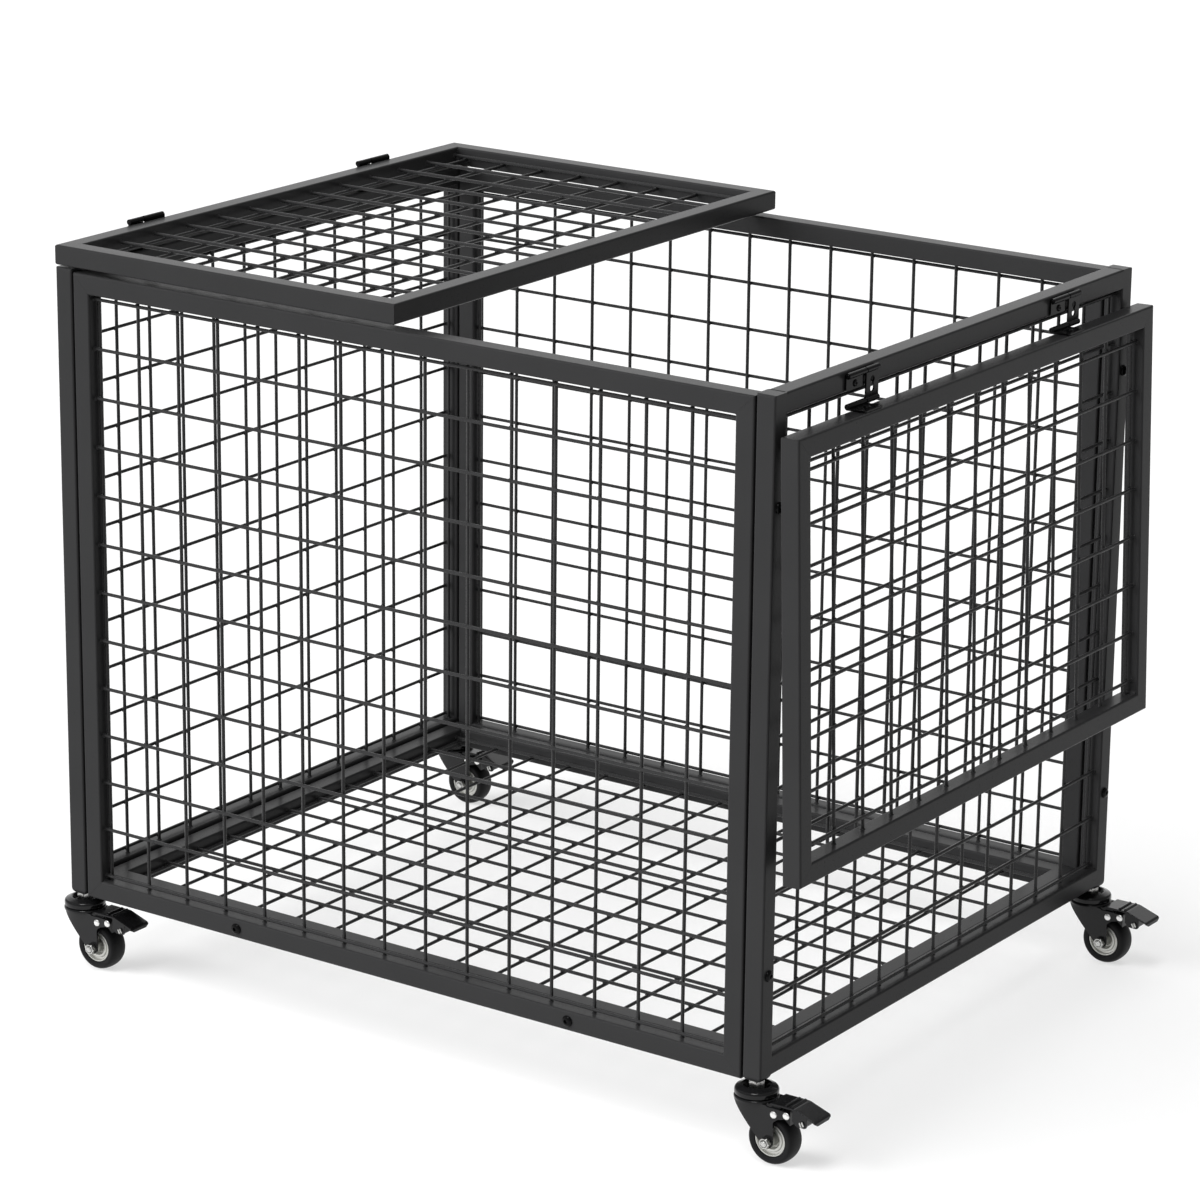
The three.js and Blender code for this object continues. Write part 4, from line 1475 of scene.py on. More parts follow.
@dataclass
class CasterTop:
    """What stands still on a caster: the stem with its nut, and the cup that holds the ball race.

    The cup's foot is drawn as points of (inset, height over its bottom), its lip as points of
    (radius, drop below its top) and its dish as points of (radius, height over the dish's floor).
    """

    size: CasterSize
    stem_radius: float = 4.9
    stem_length: float = 28.0
    stem_sides: int = 24
    head_radius: float = 8.0
    head_height: float = 3.0
    head_chamfer: float = 0.6
    head_gap: float = 0.4
    nut_radius: float = 8.2
    nut_chamfer: float = 1.0
    nut_lift: float = 0.4
    nut_drop: float = 0.3
    stem_hole: float = 5.6
    cup_radius: float = 21.0
    cup_bottom: float = 64.0
    cup_top: float = 73.0
    cup_sides: int = 64
    cup_foot: tuple[Point, ...] = ((1.5, 0.0), (0.4, 0.5), (0.0, 1.5))
    crown_radius: float = 3.4
    crown_drop: float = 5.0
    crown_sweep: float = 62.0
    crown_steps: int = 5
    lip: tuple[Point, ...] = ((14.9, 0.35), (14.2, 0.0), (13.4, 0.2), (12.8, 0.9))
    dish_floor: float = 68.4
    dish: tuple[Point, ...] = ((10.6, 0.5), (9.9, 0.0))

    def stem(self) -> bpy.types.Object:
        """The stem with its nut and its head under the fork.

        Returns:
            The stem, its axis on Z.
        """
        maker = Maker()
        high = self.size.disc_bottom - self.head_gap
        low = high - self.head_height
        end = self.size.height + self.stem_length
        profile = [
            (0.0, low),
            (self.head_radius - self.head_chamfer, low),
            (self.head_radius, low + self.head_chamfer),
            (self.head_radius, high),
            (self.stem_radius, high),
            (self.stem_radius, end),
            (0.0, end),
        ]
        maker.turned(profile, Axis.Z, sides=self.stem_sides)
        nut_low, nut_high = self.dish_floor + self.nut_lift, self.size.height - self.nut_drop
        maker.hexagonal(self.nut_radius, nut_low, nut_high, self.nut_chamfer, Axis.Z)
        return maker.finish("stem_pattern")

    def cup(self) -> bpy.types.Object:
        """The cup that holds the ball race, with a dish round the nut.

        Returns:
            The cup, its axis on Z.
        """
        maker = Maker()
        crown_middle = (self.cup_radius - self.crown_radius, self.cup_top - self.crown_drop)
        profile = [
            (self.stem_hole, self.cup_bottom),
            *[(self.cup_radius - inset, self.cup_bottom + rise) for inset, rise in self.cup_foot],
            *arc(crown_middle, self.crown_radius, 0, self.crown_sweep, self.crown_steps),
            *[(radius, self.cup_top - drop) for radius, drop in self.lip],
            *[(radius, self.dish_floor + rise) for radius, rise in self.dish],
            (self.stem_hole, self.dish_floor),
        ]
        maker.turned(profile, Axis.Z, sides=self.cup_sides, looped=True)
        return maker.finish("cup_pattern", smooth_angle=50)


@dataclass
class Fork:
    """What swivels on a caster: the pressed fork with its disc, and its rivets.

    The disc's foot is drawn as points of (inset, height over its bottom). A rivet's dome is drawn as
    shares of its radius and height.
    """

    size: CasterSize
    copies: CopyTree
    foot_radius: float = 6.4
    foot_rise: float = 2.0
    foot_start: float = 219.6
    foot_steps: int = 10
    ear: float = 4.0
    back_rounding: float = 3.0
    ear_rounding: float = 5.0
    rounding_steps: int = 5
    stop: Point = (42.3, 56.2)
    stop_steps: int = 8
    top_end: float = 19.5
    nose_start: float = 8.0
    nose_power: float = 3.0
    nose_steps: int = 24
    disc_top: float = 63.6
    disc_edge: float = 1.2
    disc_rounding: float = 1.92
    disc_steps: int = 6
    disc_sides: int = 64
    disc_foot: tuple[Point, ...] = ((0.8, 0.0), (0.2, 0.3))
    rivet_radius: float = 3.5
    rivet_height: float = 1.6
    rivet_chamfer: float = 0.2
    rivet_edge: float = 0.1
    rivet_shares: tuple[Point, ...] = ((0.97, 0.35), (0.84, 0.68), (0.6, 0.9), (0.3, 0.99))
    rivet_sides: int = 28

    def outline(self) -> list[Point]:
        """The side of the fork, in X and Z.

        Returns:
            Its points.
        """
        size, ear = self.size, self.ear
        pivot_x, pivot_z = size.pivot
        stop_x, stop_z = self.stop
        foot = (size.trail, size.wheel_radius)
        foot_back = size.trail + self.foot_radius
        top = size.disc_bottom + self.disc_edge
        back_edge = rounded(
            [
                (foot_back, size.wheel_radius + self.foot_rise),
                (foot_back, pivot_z - 2 * ear),
                (pivot_x + ear, pivot_z - ear),
                (stop_x, stop_z - self.rivet_radius),
            ],
            [0.0, self.back_rounding, self.ear_rounding, 0.0],
            self.rounding_steps,
            closed=False,
        )
        return [
            (-size.disc_radius, top),
            *arc(foot, self.foot_radius, self.foot_start, 360, self.foot_steps),
            *back_edge[1:-1],
            *arc(self.stop, self.rivet_radius, -90, 90, self.stop_steps),
            (pivot_x, stop_z + ear),
            (size.disc_radius, size.disc_bottom),
            (self.top_end, top),
        ]

    def half_width(self, x: float) -> float:
        """Half the fork's width at a place along X.

        Args:
            x: The place.

        Returns:
            The distance from the middle plane to the outside.
        """
        half = self.size.fork_half()
        if x >= self.nose_start:
            return half
        share = min(1.0, (self.nose_start - x) / (self.nose_start + self.size.disc_radius))
        return half * max(0.0, 1 - share**self.nose_power) ** (1 / self.nose_power)

    def wall(self) -> bpy.types.Object:
        """The fork's sheet: its outline cut in strips and bent round the nose to both sides.

        Returns:
            The sheet with its thickness, in millimetres.
        """
        sheet = bmesh.new()
        sheet.faces.new([sheet.verts.new((x, 0, z)) for x, z in self.outline()])
        nose = self.nose_start + self.size.disc_radius
        for step in range(1, self.nose_steps + 1):
            x = nose * (1 - math.cos(step * math.pi / (2 * self.nose_steps))) - self.size.disc_radius
            everything = sheet.verts[:] + sheet.edges[:] + sheet.faces[:]
            bmesh.ops.bisect_plane(sheet, geom=everything, plane_co=(x, 0, 0), plane_no=(1, 0, 0))
        bmesh.ops.triangulate(sheet, faces=[face for face in sheet.faces if len(face.verts) > 4])
        other = bmesh.ops.duplicate(sheet, geom=sheet.verts[:] + sheet.edges[:] + sheet.faces[:])["geom"]
        far_side = {vert for vert in other if isinstance(vert, bmesh.types.BMVert)}
        for vert in sheet.verts:
            side = -1 if vert in far_side else 1
            vert.co.y = side * self.half_width(vert.co.x)
        bmesh.ops.remove_doubles(sheet, verts=sheet.verts, dist=SAME_PLACE)
        bmesh.ops.recalc_face_normals(sheet, faces=sheet.faces)
        outermost = max(sheet.faces, key=lambda face: face.calc_center_median().y)
        if outermost.normal.y < 0:
            bmesh.ops.reverse_faces(sheet, faces=sheet.faces)
        data = bpy.data.meshes.new("fork_wall")
        sheet.to_mesh(data)
        sheet.free()
        made = linked("fork_wall", data)
        thick = made.modifiers.new("Sheet", "SOLIDIFY")
        thick.thickness = self.size.fork_plate
        thick.offset = -1.0
        settle(made)
        return made

    def fork(self) -> bpy.types.Object:
        """The pressed fork: a wall bent round its nose, and the disc on top.

        Returns:
            The fork, with its thickness.
        """
        wall = self.wall()
        maker = Maker()
        maker.mesh.from_mesh(wall.data)
        bpy.data.objects.remove(wall)
        radius, low = self.size.disc_radius, self.size.disc_bottom
        rounding = self.disc_rounding
        profile = [
            (0.0, low),
            *[(radius - inset, low + rise) for inset, rise in self.disc_foot],
            *arc((radius - rounding, self.disc_top - rounding), rounding, 0, 90, self.disc_steps),
            (0.0, self.disc_top),
        ]
        maker.turned(profile, Axis.Z, sides=self.disc_sides)
        return maker.finish("fork_pattern", bevel=0.45, bevel_angle=42)

    def rivet(self) -> bpy.types.Object:
        """One domed rivet head, standing on XY.

        Returns:
            The head.
        """
        maker = Maker()
        radius, height, chamfer = self.rivet_radius, self.rivet_height, self.rivet_chamfer
        profile = [
            (0.0, -chamfer),
            (radius - chamfer, -chamfer),
            (radius, self.rivet_edge),
            *[(radius * out, height * up) for out, up in self.rivet_shares],
            (0.0, height),
        ]
        maker.turned(profile, Axis.Z, sides=self.rivet_sides)
        return maker.finish("rivet_pattern", smooth_angle=60)

    def rivets(self) -> bpy.types.Object:
        """The four rivet heads of a fork, as one object.

        Returns:
            The heads.
        """
        half = self.size.fork_half()
        spots = []
        for x, z in (self.size.pivot, self.stop):
            for side in (-1, 1):
                spots.append((Vector((x, side * half, z)), Vector((0, side, 0))))
        return self.copies.place("fork_rivets_pattern", self.rivet(), spots, BRIGHT_ZINC)


@dataclass
class Wheel:
    """A caster's wheel, the tyre on its silver rim, and the bolt that it turns on.

    The tyre's foot is drawn as points of (height over its bore, inset from its side), the hub's ring as
    points of (distance from the hub, height over the dish), the bead as points of (radius, height over
    the trough) and the rim's edge as points of (inset, drop from its side).
    """

    size: CasterSize
    tyre_width: float = 21.5
    tyre_bore: float = 16.8
    tyre_foot: tuple[Point, ...] = ((0.0, 1.0), (0.7, 0.75))
    tyre_sides: int = 72
    tread_start: float = 20.0
    tread_steps: int = 16
    side_power: float = 0.9
    tread_power: float = 0.72
    rim_radius: float = 16.5
    rim_width: float = 18.6
    rim_sides: int = 64
    rim_edge: tuple[Point, ...] = ((0.7, 0.0), (0.2, 0.25), (0.0, 0.8))
    lip_start: float = 14.7
    lip_chamfer: float = 0.4
    trough_depth: float = 2.7
    bead: tuple[Point, ...] = ((9.2, 0.8), (9.8, 1.4), (11.3, 1.4), (12.0, 0.9), (12.4, 0.0))
    dish_radius: float = 8.7
    dish_depth: float = 6.8
    hub_radius: float = 6.2
    hub_width: float = 25.6
    hub_chamfer: float = 0.5
    hub_ring: tuple[Point, ...] = ((0.5, -0.3), (0.9, 0.3), (1.4, 0.3), (1.8, -0.3))
    hub_bore: float = 3.4
    axle_radius: float = 3.0
    axle_inset: float = 0.3
    axle_sides: int = 24
    nut_radius: float = 5.8
    nut_length: float = 5.0
    nut_chamfer: float = 0.8
    nut_gap: float = 0.3
    nut_clearance: float = 0.2
    thread_end: float = 1.0
    thread_pitch: float = 0.75
    thread_depth: float = 0.45
    thread_overlap: float = 0.2
    tip_length: float = 0.5
    tip_insets: tuple[float, float] = (0.6, 0.1)

    def tyre(self) -> bpy.types.Object:
        """The rubber tyre, rounded across its tread.

        Returns:
            The tyre, at the wheel's place.
        """
        maker = Maker()
        half = self.tyre_width / 2
        tread = self.size.wheel_radius - self.tread_start
        profile = [(self.tyre_bore + rise, -half + inset) for rise, inset in self.tyre_foot]
        for i in range(self.tread_steps + 1):
            angle = -math.pi / 2 + math.pi * i / self.tread_steps
            across = math.copysign(abs(math.sin(angle)) ** self.side_power, angle)
            rise = max(0.0, math.cos(angle)) ** self.tread_power
            profile.append((self.tread_start + tread * rise, half * across))
        profile += [(self.tyre_bore + rise, half - inset) for rise, inset in reversed(self.tyre_foot)]
        maker.turned(profile, Axis.Y, self.size.wheel_middle(), self.tyre_sides, looped=True)
        return maker.finish("tyre_pattern", smooth_angle=60)

    def rim(self) -> bpy.types.Object:
        """The silver rim with its lips, its dished web and its hub.

        Returns:
            The rim, at the wheel's place.
        """
        maker = Maker()
        hub, rim = self.hub_width / 2, self.rim_width / 2
        dish, trough = rim - self.dish_depth, rim - self.trough_depth
        side = [
            (self.hub_bore, hub),
            (self.hub_radius - self.hub_chamfer, hub),
            (self.hub_radius, hub - self.hub_chamfer),
            (self.hub_radius, dish),
            *[(self.hub_radius + out, dish + rise) for out, rise in self.hub_ring],
            (self.dish_radius, dish),
            *[(radius, trough + rise) for radius, rise in self.bead],
            (self.lip_start - self.lip_chamfer, trough),
            (self.lip_start, rim - self.lip_chamfer),
            (self.lip_start + self.lip_chamfer, rim),
            *[(self.rim_radius - inset, rim - drop) for inset, drop in self.rim_edge],
        ]
        profile = [(r, -y) for r, y in side] + [(r, y) for r, y in reversed(side)]
        maker.turned(profile, Axis.Y, self.size.wheel_middle(), self.rim_sides, looped=True)
        return maker.finish("rim_pattern", smooth_angle=50)

    def axle(self) -> bpy.types.Object:
        """The axle bolt with a hexagon at each end and the end of its thread.

        Returns:
            The bolt, at the wheel's place.
        """
        maker = Maker()
        radius, middle = self.axle_radius, self.size.wheel_middle()
        near = self.size.fork_half() + self.nut_gap
        far = near + self.nut_length
        tip = far + self.thread_end
        blunt, shoulder = (radius - inset for inset in self.tip_insets)
        profile = [(0.0, -tip), (blunt, -tip), (shoulder, -tip + self.tip_length)]
        spot = -tip + self.tip_length + self.thread_pitch / 2
        while spot < -far + self.thread_overlap:
            profile += [(radius - self.thread_depth, spot), (radius, spot + self.thread_pitch / 2)]
            spot += self.thread_pitch
        profile += [(radius, far - self.axle_inset), (0.0, far - self.axle_inset)]
        maker.turned(profile, Axis.Y, middle, self.axle_sides)
        bore = radius + self.nut_clearance
        maker.hexagonal(self.nut_radius, near, far, self.nut_chamfer, Axis.Y, middle)
        maker.hexagonal(self.nut_radius, -far, -near, self.nut_chamfer, Axis.Y, middle, bore)
        return maker.finish("axle_pattern", smooth_angle=30)


@dataclass
class Pedal:
    """A caster's brake pedal: plate, ribs, ears, shoe, and cheeks with the lug and its screws."""

    size: CasterSize
    copies: CopyTree
    width: float = 27.0
    plate: float = 2.0
    sink: float = 1.0
    start: float = 23.5
    bend: float = 50.0
    bend_radius: float = 9.0
    top: float = 64.2
    tip: float = 72.5
    tip_height: float = 56.4
    tip_corner: float = 4.4
    lip_drop: float = 4.4
    lip_radius: float = 3.2
    lip_outs: tuple[float, float] = (0.4, 0.9)
    path_steps: int = 8
    rib_radius: float = 1.7
    rib_inset: float = 2.4
    rib_backs: tuple[float, float] = (10.0, 3.5)
    rib_ends: tuple[float, float] = (1.2, 0.9)
    rib_end_share: float = 0.65
    rib_sides: int = 14
    ear_radius: float = 4.0
    ear_plate: float = 1.6
    ear_gap: float = 0.4
    ear_inset: float = 0.4
    ear_reach: float = 5.5
    ear_steps: int = 12
    shoe_width: float = 16.0
    shoe_start: float = 34.0
    shoe_length: float = 8.0
    shoe_gap: float = 2.5
    shoe_steps: int = 6
    lug_start: float = 54.0
    lug_length: float = 9.5
    lug_bottom: float = 47.5
    lug_inset: float = 0.6
    lug_overlap: float = 0.2
    lug_roundings: tuple[float, float] = (1.0, 3.0)
    cheek_start: float = 47.6
    cheek_slant: Point = (5.0, 4.0)
    cheek_roundings: tuple[float, float, float] = (1.5, 2.5, 3.0)
    screw_drop: float = 4.2
    screw_radius: float = 2.8
    screw_height: float = 1.8
    screw_sink: float = 0.2
    screw_lift: float = 0.3
    screw_turn: float = 115.0
    screw_sides: int = 28
    neck_share: float = 0.6
    neck_height: float = 0.32
    slot_half: float = 0.75
    bar_width: float = 1.4
    bar_steps: int = 4

    def path(self) -> list[Point]:
        """The top of the pedal's plate, from the fork to the edge of its lip.

        Returns:
            Its points in X and Z.
        """
        fold, edge = (self.tip + out for out in self.lip_outs)
        corners = [
            (self.start, self.top),
            (self.bend, self.top),
            (fold, self.tip_height),
            (edge, self.tip_height - self.lip_drop),
        ]
        roundings = [0.0, self.bend_radius, self.lip_radius, 0.0]
        return rounded(corners, roundings, self.path_steps, closed=False)

    def under(self, x: float) -> float:
        """How high a part below the plate ends at a place along X, a little sunk into the plate."""
        slope = (self.tip_height - self.top) / (self.tip - self.bend)
        return self.top - self.plate + self.sink + slope * max(0.0, x - self.bend)

    def sheet(self, maker: Maker) -> None:
        """Adds the plate with its lip, its corners rounded at the tip.

        Args:
            maker: What collects the shells.
        """
        path = [Vector(p) for p in self.path()]
        lengths = [0.0]
        for before, after in zip(path, path[1:]):
            lengths.append(lengths[-1] + (after - before).length)
        corner = self.tip_corner
        rings = []
        for i, spot in enumerate(path):
            left = lengths[-1] - lengths[i]
            reach = self.width / 2
            if left < corner:
                reach += math.sqrt(max(0.0, corner**2 - (corner - left) ** 2)) - corner
            along = (path[min(len(path) - 1, i + 1)] - path[max(0, i - 1)]).normalized()
            low = spot + Vector((along.y, -along.x)) * self.plate
            sides = ((spot, -reach), (spot, reach), (low, reach), (low, -reach))
            rings.append([Vector((place.x, y, place.y)) for place, y in sides])
        maker.skin(rings)

    def ribs(self, maker: Maker) -> None:
        """Adds the two round ribs across the plate, their ends narrowed.

        Args:
            maker: What collects the shells.
        """
        half = self.width / 2 - self.rib_inset
        end, shoulder = (half + reach for reach in self.rib_ends)
        narrow = self.rib_radius * self.rib_end_share
        profile = [
            (0.0, -end),
            (narrow, -shoulder),
            (self.rib_radius, -half),
            (self.rib_radius, half),
            (narrow, shoulder),
            (0.0, end),
        ]
        for back in self.rib_backs:
            maker.turned(profile, Axis.Y, (self.bend - back, 0, self.top), self.rib_sides)

    def ears(self, maker: Maker) -> None:
        """Adds the two ears that hold the pivot inside the fork.

        Args:
            maker: What collects the shells.
        """
        high = self.under(self.start)
        outline = [(self.size.pivot[0] + self.ear_reach, high), (self.start + self.ear_inset, high)]
        outline += arc(self.size.pivot, self.ear_radius, 180, 360, self.ear_steps)
        out = (self.size.fork_inside - self.ear_plate) / 2 - self.ear_gap
        for y in (-out, out):
            maker.side_plate(outline, self.ear_plate, y)

    def shoe(self, maker: Maker) -> None:
        """Adds the shoe over the tyre, hollowed round it.

        Args:
            maker: What collects the shells.
        """
        size = self.size
        radius = size.wheel_radius + self.shoe_gap
        ends = (self.shoe_start, self.shoe_start + self.shoe_length)
        first, last = (math.degrees(math.acos((x - size.trail) / radius)) for x in ends)
        outline = [(x, self.under(x)) for x in reversed(ends)]
        outline += arc((size.trail, size.wheel_radius), radius, first, last, self.shoe_steps)
        maker.side_plate(outline, self.shoe_width)

    def lug(self, maker: Maker) -> None:
        """Adds the lug between the cheeks.

        Args:
            maker: What collects the shells.
        """
        start, end = self.lug_start, self.lug_start + self.lug_length
        low = self.lug_bottom + self.lug_inset
        corners = [
            (start, self.under(start)),
            (start, low),
            (end - self.lug_inset, low),
            (end - self.lug_inset, self.under(end)),
        ]
        outline = rounded(corners, [0.0, *self.lug_roundings, 0.0])
        maker.side_plate(outline, self.width - 2 * (self.plate - self.lug_overlap))

    def cheeks(self, maker: Maker) -> None:
        """Adds the two cheeks that hang from the plate's sides.

        Args:
            maker: What collects the shells.
        """
        start, end, low = self.cheek_start, self.lug_start + self.lug_length, self.lug_bottom
        slant_length, slant_height = self.cheek_slant
        corners = [
            (start, self.under(start)),
            (start, low + slant_height),
            (start + slant_length, low),
            (end, low),
            (end, self.under(end)),
            (self.bend, self.under(self.bend)),
        ]
        outline = rounded(corners, [0.0, *self.cheek_roundings, 0.0, 0.0])
        out = (self.width - self.plate) / 2
        for y in (-out, out):
            maker.side_plate(outline, self.plate, y)

    def pedal(self) -> bpy.types.Object:
        """The whole pedal but its screws.

        Returns:
            The pedal.
        """
        maker = Maker()
        self.sheet(maker)
        self.ribs(maker)
        self.ears(maker)
        self.shoe(maker)
        self.lug(maker)
        self.cheeks(maker)
        return maker.finish("pedal_pattern", bevel=0.5, bevel_steps=3, bevel_angle=48)

    def screw(self) -> bpy.types.Object:
        """One slotted screw head, standing on XY, its slot slanted.

        Returns:
            The head.
        """
        maker = Maker()
        radius, neck = self.screw_radius, self.screw_radius * self.neck_share
        profile = [
            (0.0, -self.screw_sink),
            (neck, -self.screw_sink),
            (neck, self.neck_height),
            (0.0, self.neck_height),
        ]
        maker.turned(profile, Axis.Z, sides=self.screw_sides)
        thick = self.screw_height - self.screw_lift
        place = turn(self.screw_turn, "Z") @ shift(z=self.screw_lift + thick / 2)
        cuts = (self.slot_half, self.slot_half + self.bar_width)
        near, far = (math.degrees(math.asin(cut / radius)) for cut in cuts)
        for side in (0, 180):
            bar = arc((0.0, 0.0), radius, side + near, side + far, self.bar_steps)
            bar += arc((0.0, 0.0), radius, side + 180 - far, side + 180 - near, self.bar_steps)
            maker.plate(bar, thick, place)
        return maker.finish("screw_pattern", bevel=0.25, bevel_angle=50)

    def screws(self) -> bpy.types.Object:
        """The two screw heads of a pedal, as one object.

        Returns:
            The heads.
        """
        x = self.lug_start + self.lug_length / 2
        z = self.lug_bottom + self.screw_drop
        spots = [(Vector((x, side * self.width / 2, z)), Vector((0, side, 0))) for side in (-1, 1)]
        return self.copies.place("pedal_screws_pattern", self.screw(), spots, ZINC_PLATE)


@dataclass
class Casters:
    """The four braked swivel casters under the posts."""

    cage: CageSize
    size: CasterSize
    copies: CopyTree

    def build(self) -> None:
        """Makes each piece once and copies it to the four corners of the cage."""
        top = CasterTop(self.size)
        fork = Fork(self.size, self.copies)
        wheel = Wheel(self.size)
        pedal = Pedal(self.size, self.copies)
        patterns = [
            ("stem", top.stem(), ZINC_PLATE, "cage", True),
            ("cup", top.cup(), GLOSS_BLACK, "cage", True),
            ("fork", fork.fork(), GLOSS_BLACK, "swivel", True),
            ("fork_rivets", fork.rivets(), BRIGHT_ZINC, "swivel", False),
            ("axle", wheel.axle(), ZINC_PLATE, "swivel", True),
            ("tyre", wheel.tyre(), TYRE_RUBBER, "wheel", True),
            ("rim", wheel.rim(), RIM_SILVER, "wheel", True),
            ("pedal", pedal.pedal(), GLOSS_BLACK, "brake", True),
            ("pedal_screws", pedal.screws(), ZINC_PLATE, "brake", False),
        ]
        for kind, pattern, finish, carrier, is_node in patterns:
            for end, sign in ENDS:
                for row, way in ROWS:
                    corner = f"{end}_{row}"
                    place = shift(self.cage.middle + sign * self.cage.post_x(), way * self.cage.post_y())
                    made = copied(pattern, f"{corner}_caster_{kind}_piece", place)
                    body = carrier if carrier == "cage" else f"{corner}_{carrier}"
                    nodes = [f"{corner}_caster_{kind}"] if is_node else []
                    hand_over(made, finish, body, *nodes)
            bpy.data.objects.remove(pattern)


@dataclass
class Cage:
    """The five fixed panels."""

    size: CageSize
    top_drop: float = 3.0
    post_corners: tuple[float, float] = (2.4, 4.8)

    def wall(self, out: float, degrees: float) -> Matrix:
        """A side's lower middle, by how far out its outer face is and which way it faces, in degrees."""
        base = shift(self.size.middle, 0, self.size.stand) @ turn(degrees, "Z")
        return base @ shift(y=self.size.tube / 2 - out) @ turn(90, "X")

    def build(self) -> None:
        """Makes the panels."""
        size = self.size
        frame_inset = 2 * (size.tube + size.gap)
        width = size.length - frame_inset
        height = size.post_height - self.top_drop
        for name, degrees in (("front_panel", 0), ("back_panel", 180)):
            place = self.wall(size.depth / 2, degrees) @ shift(y=height / 2)
            MeshPanel(name, "cage", width, height, place).build()
        front, back = self.post_corners
        for name, degrees, corners in (
            ("right_end_panel", 90, (front, back)),
            ("left_end_panel", -90, (back, front)),
        ):
            place = self.wall(size.length / 2, degrees)
            EndPanel(name, "cage", size.depth, size.post_height, place, top_corners=corners).build()
        place = shift(size.middle, 0, size.stand + size.tube / 2)
        MeshPanel("floor_panel", "cage", width, size.depth - frame_inset, place).build()


def direction(azimuth: float, elevation: float) -> Vector:
    """The way towards a place, by its angles from the front and over the floor in degrees."""
    around_z, up = math.radians(azimuth), math.radians(elevation)
    return Vector((math.sin(around_z) * math.cos(up), -math.cos(around_z) * math.cos(up), math.sin(up)))


@dataclass(frozen=True)
class Lamp:
    """A soft, distant lamp. Its spread is how wide it looks from the cart, in degrees."""

    name: str
    strength: float
    spread: float
    azimuth: float
    elevation: float
    mirrored: bool = True

    def build(self) -> None:
        """Adds the lamp, shining on the cart from where it stands."""
        data = bpy.data.lights.new(self.name, "SUN")
        data.energy = self.strength
        data.angle = math.radians(self.spread)
        made = linked(self.name, data)
        made.visible_glossy = self.mirrored
        towards = direction(self.azimuth, self.elevation)
        made.matrix_world = towards.to_track_quat("Z", "Y").to_matrix().to_4x4()


KEY_LAMP = Lamp("key_lamp", strength=1.0, spread=20.0, azimuth=10.0, elevation=68.0)
FRONT_LAMP = Lamp("front_lamp", strength=5.0, spread=50.0, azimuth=-40.0, elevation=22.0, mirrored=False)
BACK_LAMP = Lamp("back_lamp", strength=0.8, spread=66.0, azimuth=215.0, elevation=24.0)


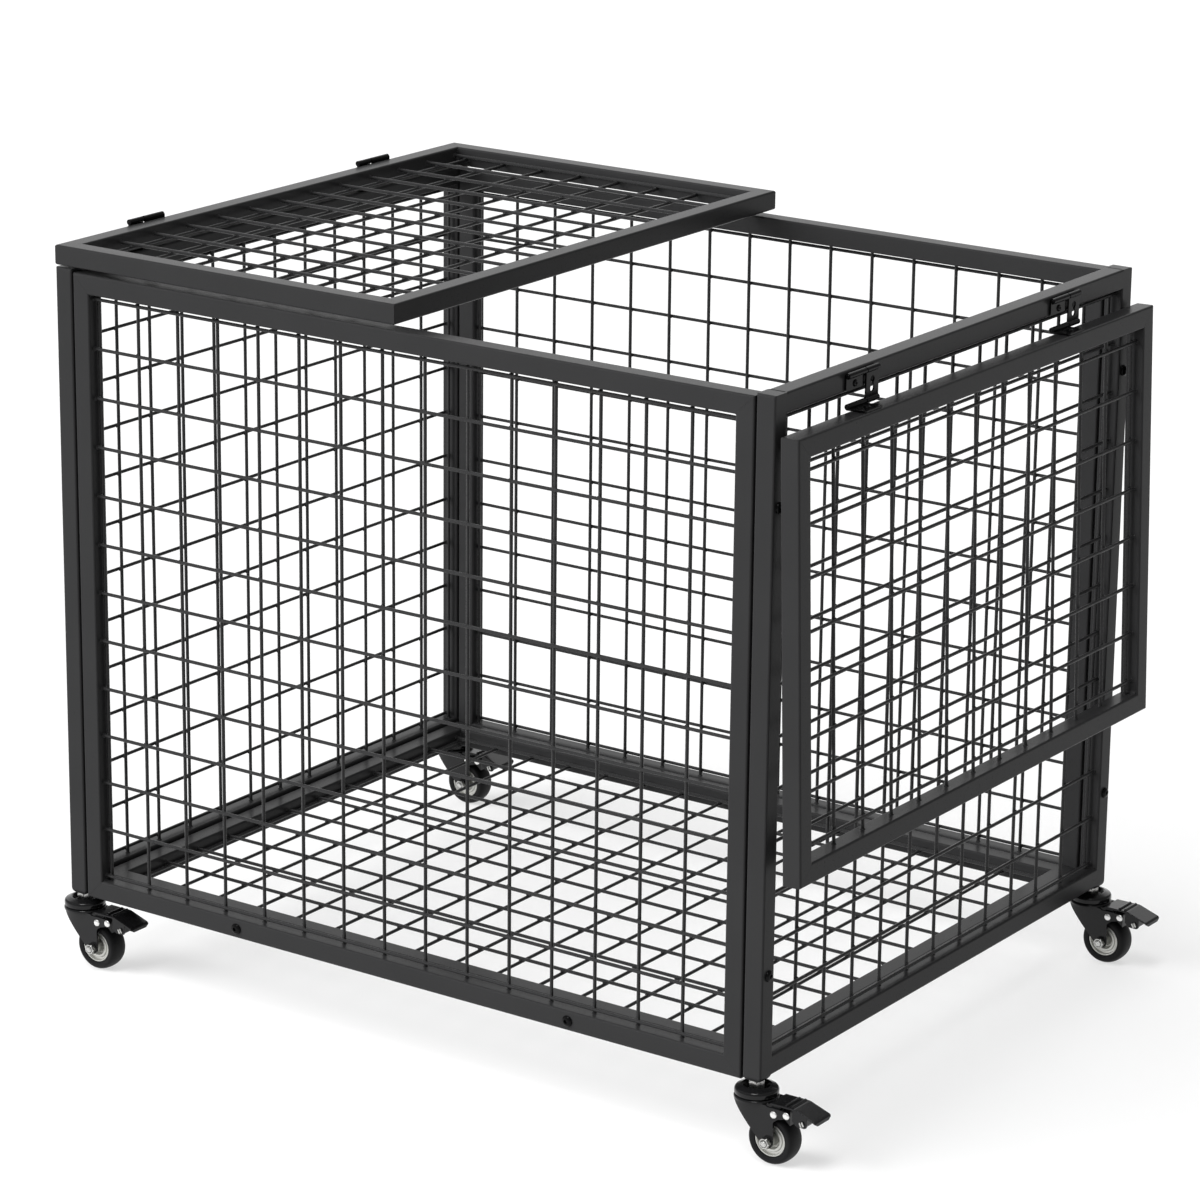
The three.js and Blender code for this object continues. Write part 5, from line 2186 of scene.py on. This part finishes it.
@dataclass
class Studio:
    """The camera, the floor and the soft light. Its places and sizes are in metres, but not the lens."""

    camera_place: Spot = (2.4770, -3.5765, 1.7207)
    azimuth: float = 34.903
    elevation: float = 16.987
    roll: float = 0.625
    lens: float = 136.02
    sensor: float = 36.0
    view_end: float = 100.0
    floor_size: float = 60.0
    floor_colour: float = 0.4
    floor_roughness: float = 0.9
    floor_glow: float = 0.58
    sky: float = 0.35

    def camera(self) -> None:
        """Sets the camera at the photograph's viewing angle."""
        data = bpy.data.cameras.new("camera")
        data.lens = self.lens
        data.sensor_width = self.sensor
        data.clip_end = self.view_end
        made = linked("camera", data)
        back = direction(self.azimuth, self.elevation)
        roll = math.radians(self.roll)
        right = (-back).cross(Vector((0, 0, 1))).normalized()
        up = right.cross(-back)
        across = right * math.cos(roll) + up * math.sin(roll)
        upward = up * math.cos(roll) - right * math.sin(roll)
        place = Matrix.Identity(4)
        for column, axis in enumerate((across, upward, back)):
            for row in range(3):
                place[row][column] = axis[row]
        made.matrix_world = Matrix.Translation(self.camera_place) @ place
        bpy.context.scene.camera = made

    def floor(self) -> None:
        """Lays the pale floor, which keeps the cart's shadow."""
        grid = bmesh.new()
        bmesh.ops.create_grid(grid, x_segments=1, y_segments=1, size=self.floor_size / 2)
        data = bpy.data.meshes.new("floor")
        grid.to_mesh(data)
        grid.free()
        made = linked("floor", data)
        paint = bpy.data.materials.new("pale_floor")
        paint.use_nodes = True
        tree = paint.node_tree
        shader = tree.nodes["Principled BSDF"]
        shader.inputs["Base Color"].default_value = (self.floor_colour,) * 3 + (1.0,)
        shader.inputs["Roughness"].default_value = self.floor_roughness
        shader.inputs["Specular IOR Level"].default_value = 0.0
        shader.inputs["Emission Color"].default_value = WHITE
        rays = tree.nodes.new("ShaderNodeLightPath")
        seen = tree.nodes.new("ShaderNodeMath")
        seen.operation = "MAXIMUM"
        tree.links.new(rays.outputs["Is Camera Ray"], seen.inputs[0])
        tree.links.new(rays.outputs["Is Glossy Ray"], seen.inputs[1])
        glow = tree.nodes.new("ShaderNodeMath")
        glow.operation = "MULTIPLY"
        tree.links.new(seen.outputs[0], glow.inputs[0])
        glow.inputs[1].default_value = self.floor_glow
        tree.links.new(glow.outputs[0], shader.inputs["Emission Strength"])
        data.materials.append(paint)

    def world(self) -> None:
        """Makes the world white where it is seen, and softer as a light."""
        world = bpy.data.worlds.new("white_room")
        bpy.context.scene.world = world
        world.use_nodes = True
        tree = world.node_tree
        background = tree.nodes["Background"]
        background.inputs["Color"].default_value = WHITE
        rays = tree.nodes.new("ShaderNodeLightPath")
        level = tree.nodes.new("ShaderNodeMapRange")
        level.inputs["To Min"].default_value = self.sky
        level.inputs["To Max"].default_value = 1.0
        tree.links.new(rays.outputs["Is Camera Ray"], level.inputs["Value"])
        tree.links.new(level.outputs["Result"], background.inputs["Strength"])

    def build(self) -> None:
        """Sets up the whole studio."""
        self.camera()
        self.floor()
        self.world()
        for lamp in (KEY_LAMP, FRONT_LAMP, BACK_LAMP):
            lamp.build()
        bpy.context.scene.view_settings.view_transform = "Standard"


def main() -> None:
    """Builds the cart in order; each piece logs its count of faces as it is handed over."""
    logging.basicConfig(level=logging.INFO, format="%(name)s: %(message)s")
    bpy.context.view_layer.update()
    low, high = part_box("floor_panel")
    caster = CasterSize()
    cage = CageSize(middle=(low.x + high.x) / 2 / MM, stand=caster.height)
    copies = CopyTree()
    Studio().build()
    Cage(cage).build()
    Bolts(copies, cage).build()
    LidSide("left", cage, link_turn=0.0, lid_turn=0.0).build()
    LidSide("right", cage, link_turn=180.0, lid_turn=88.2).build()
    Casters(cage, caster, copies).build()


if __name__ == "__main__":
    main()
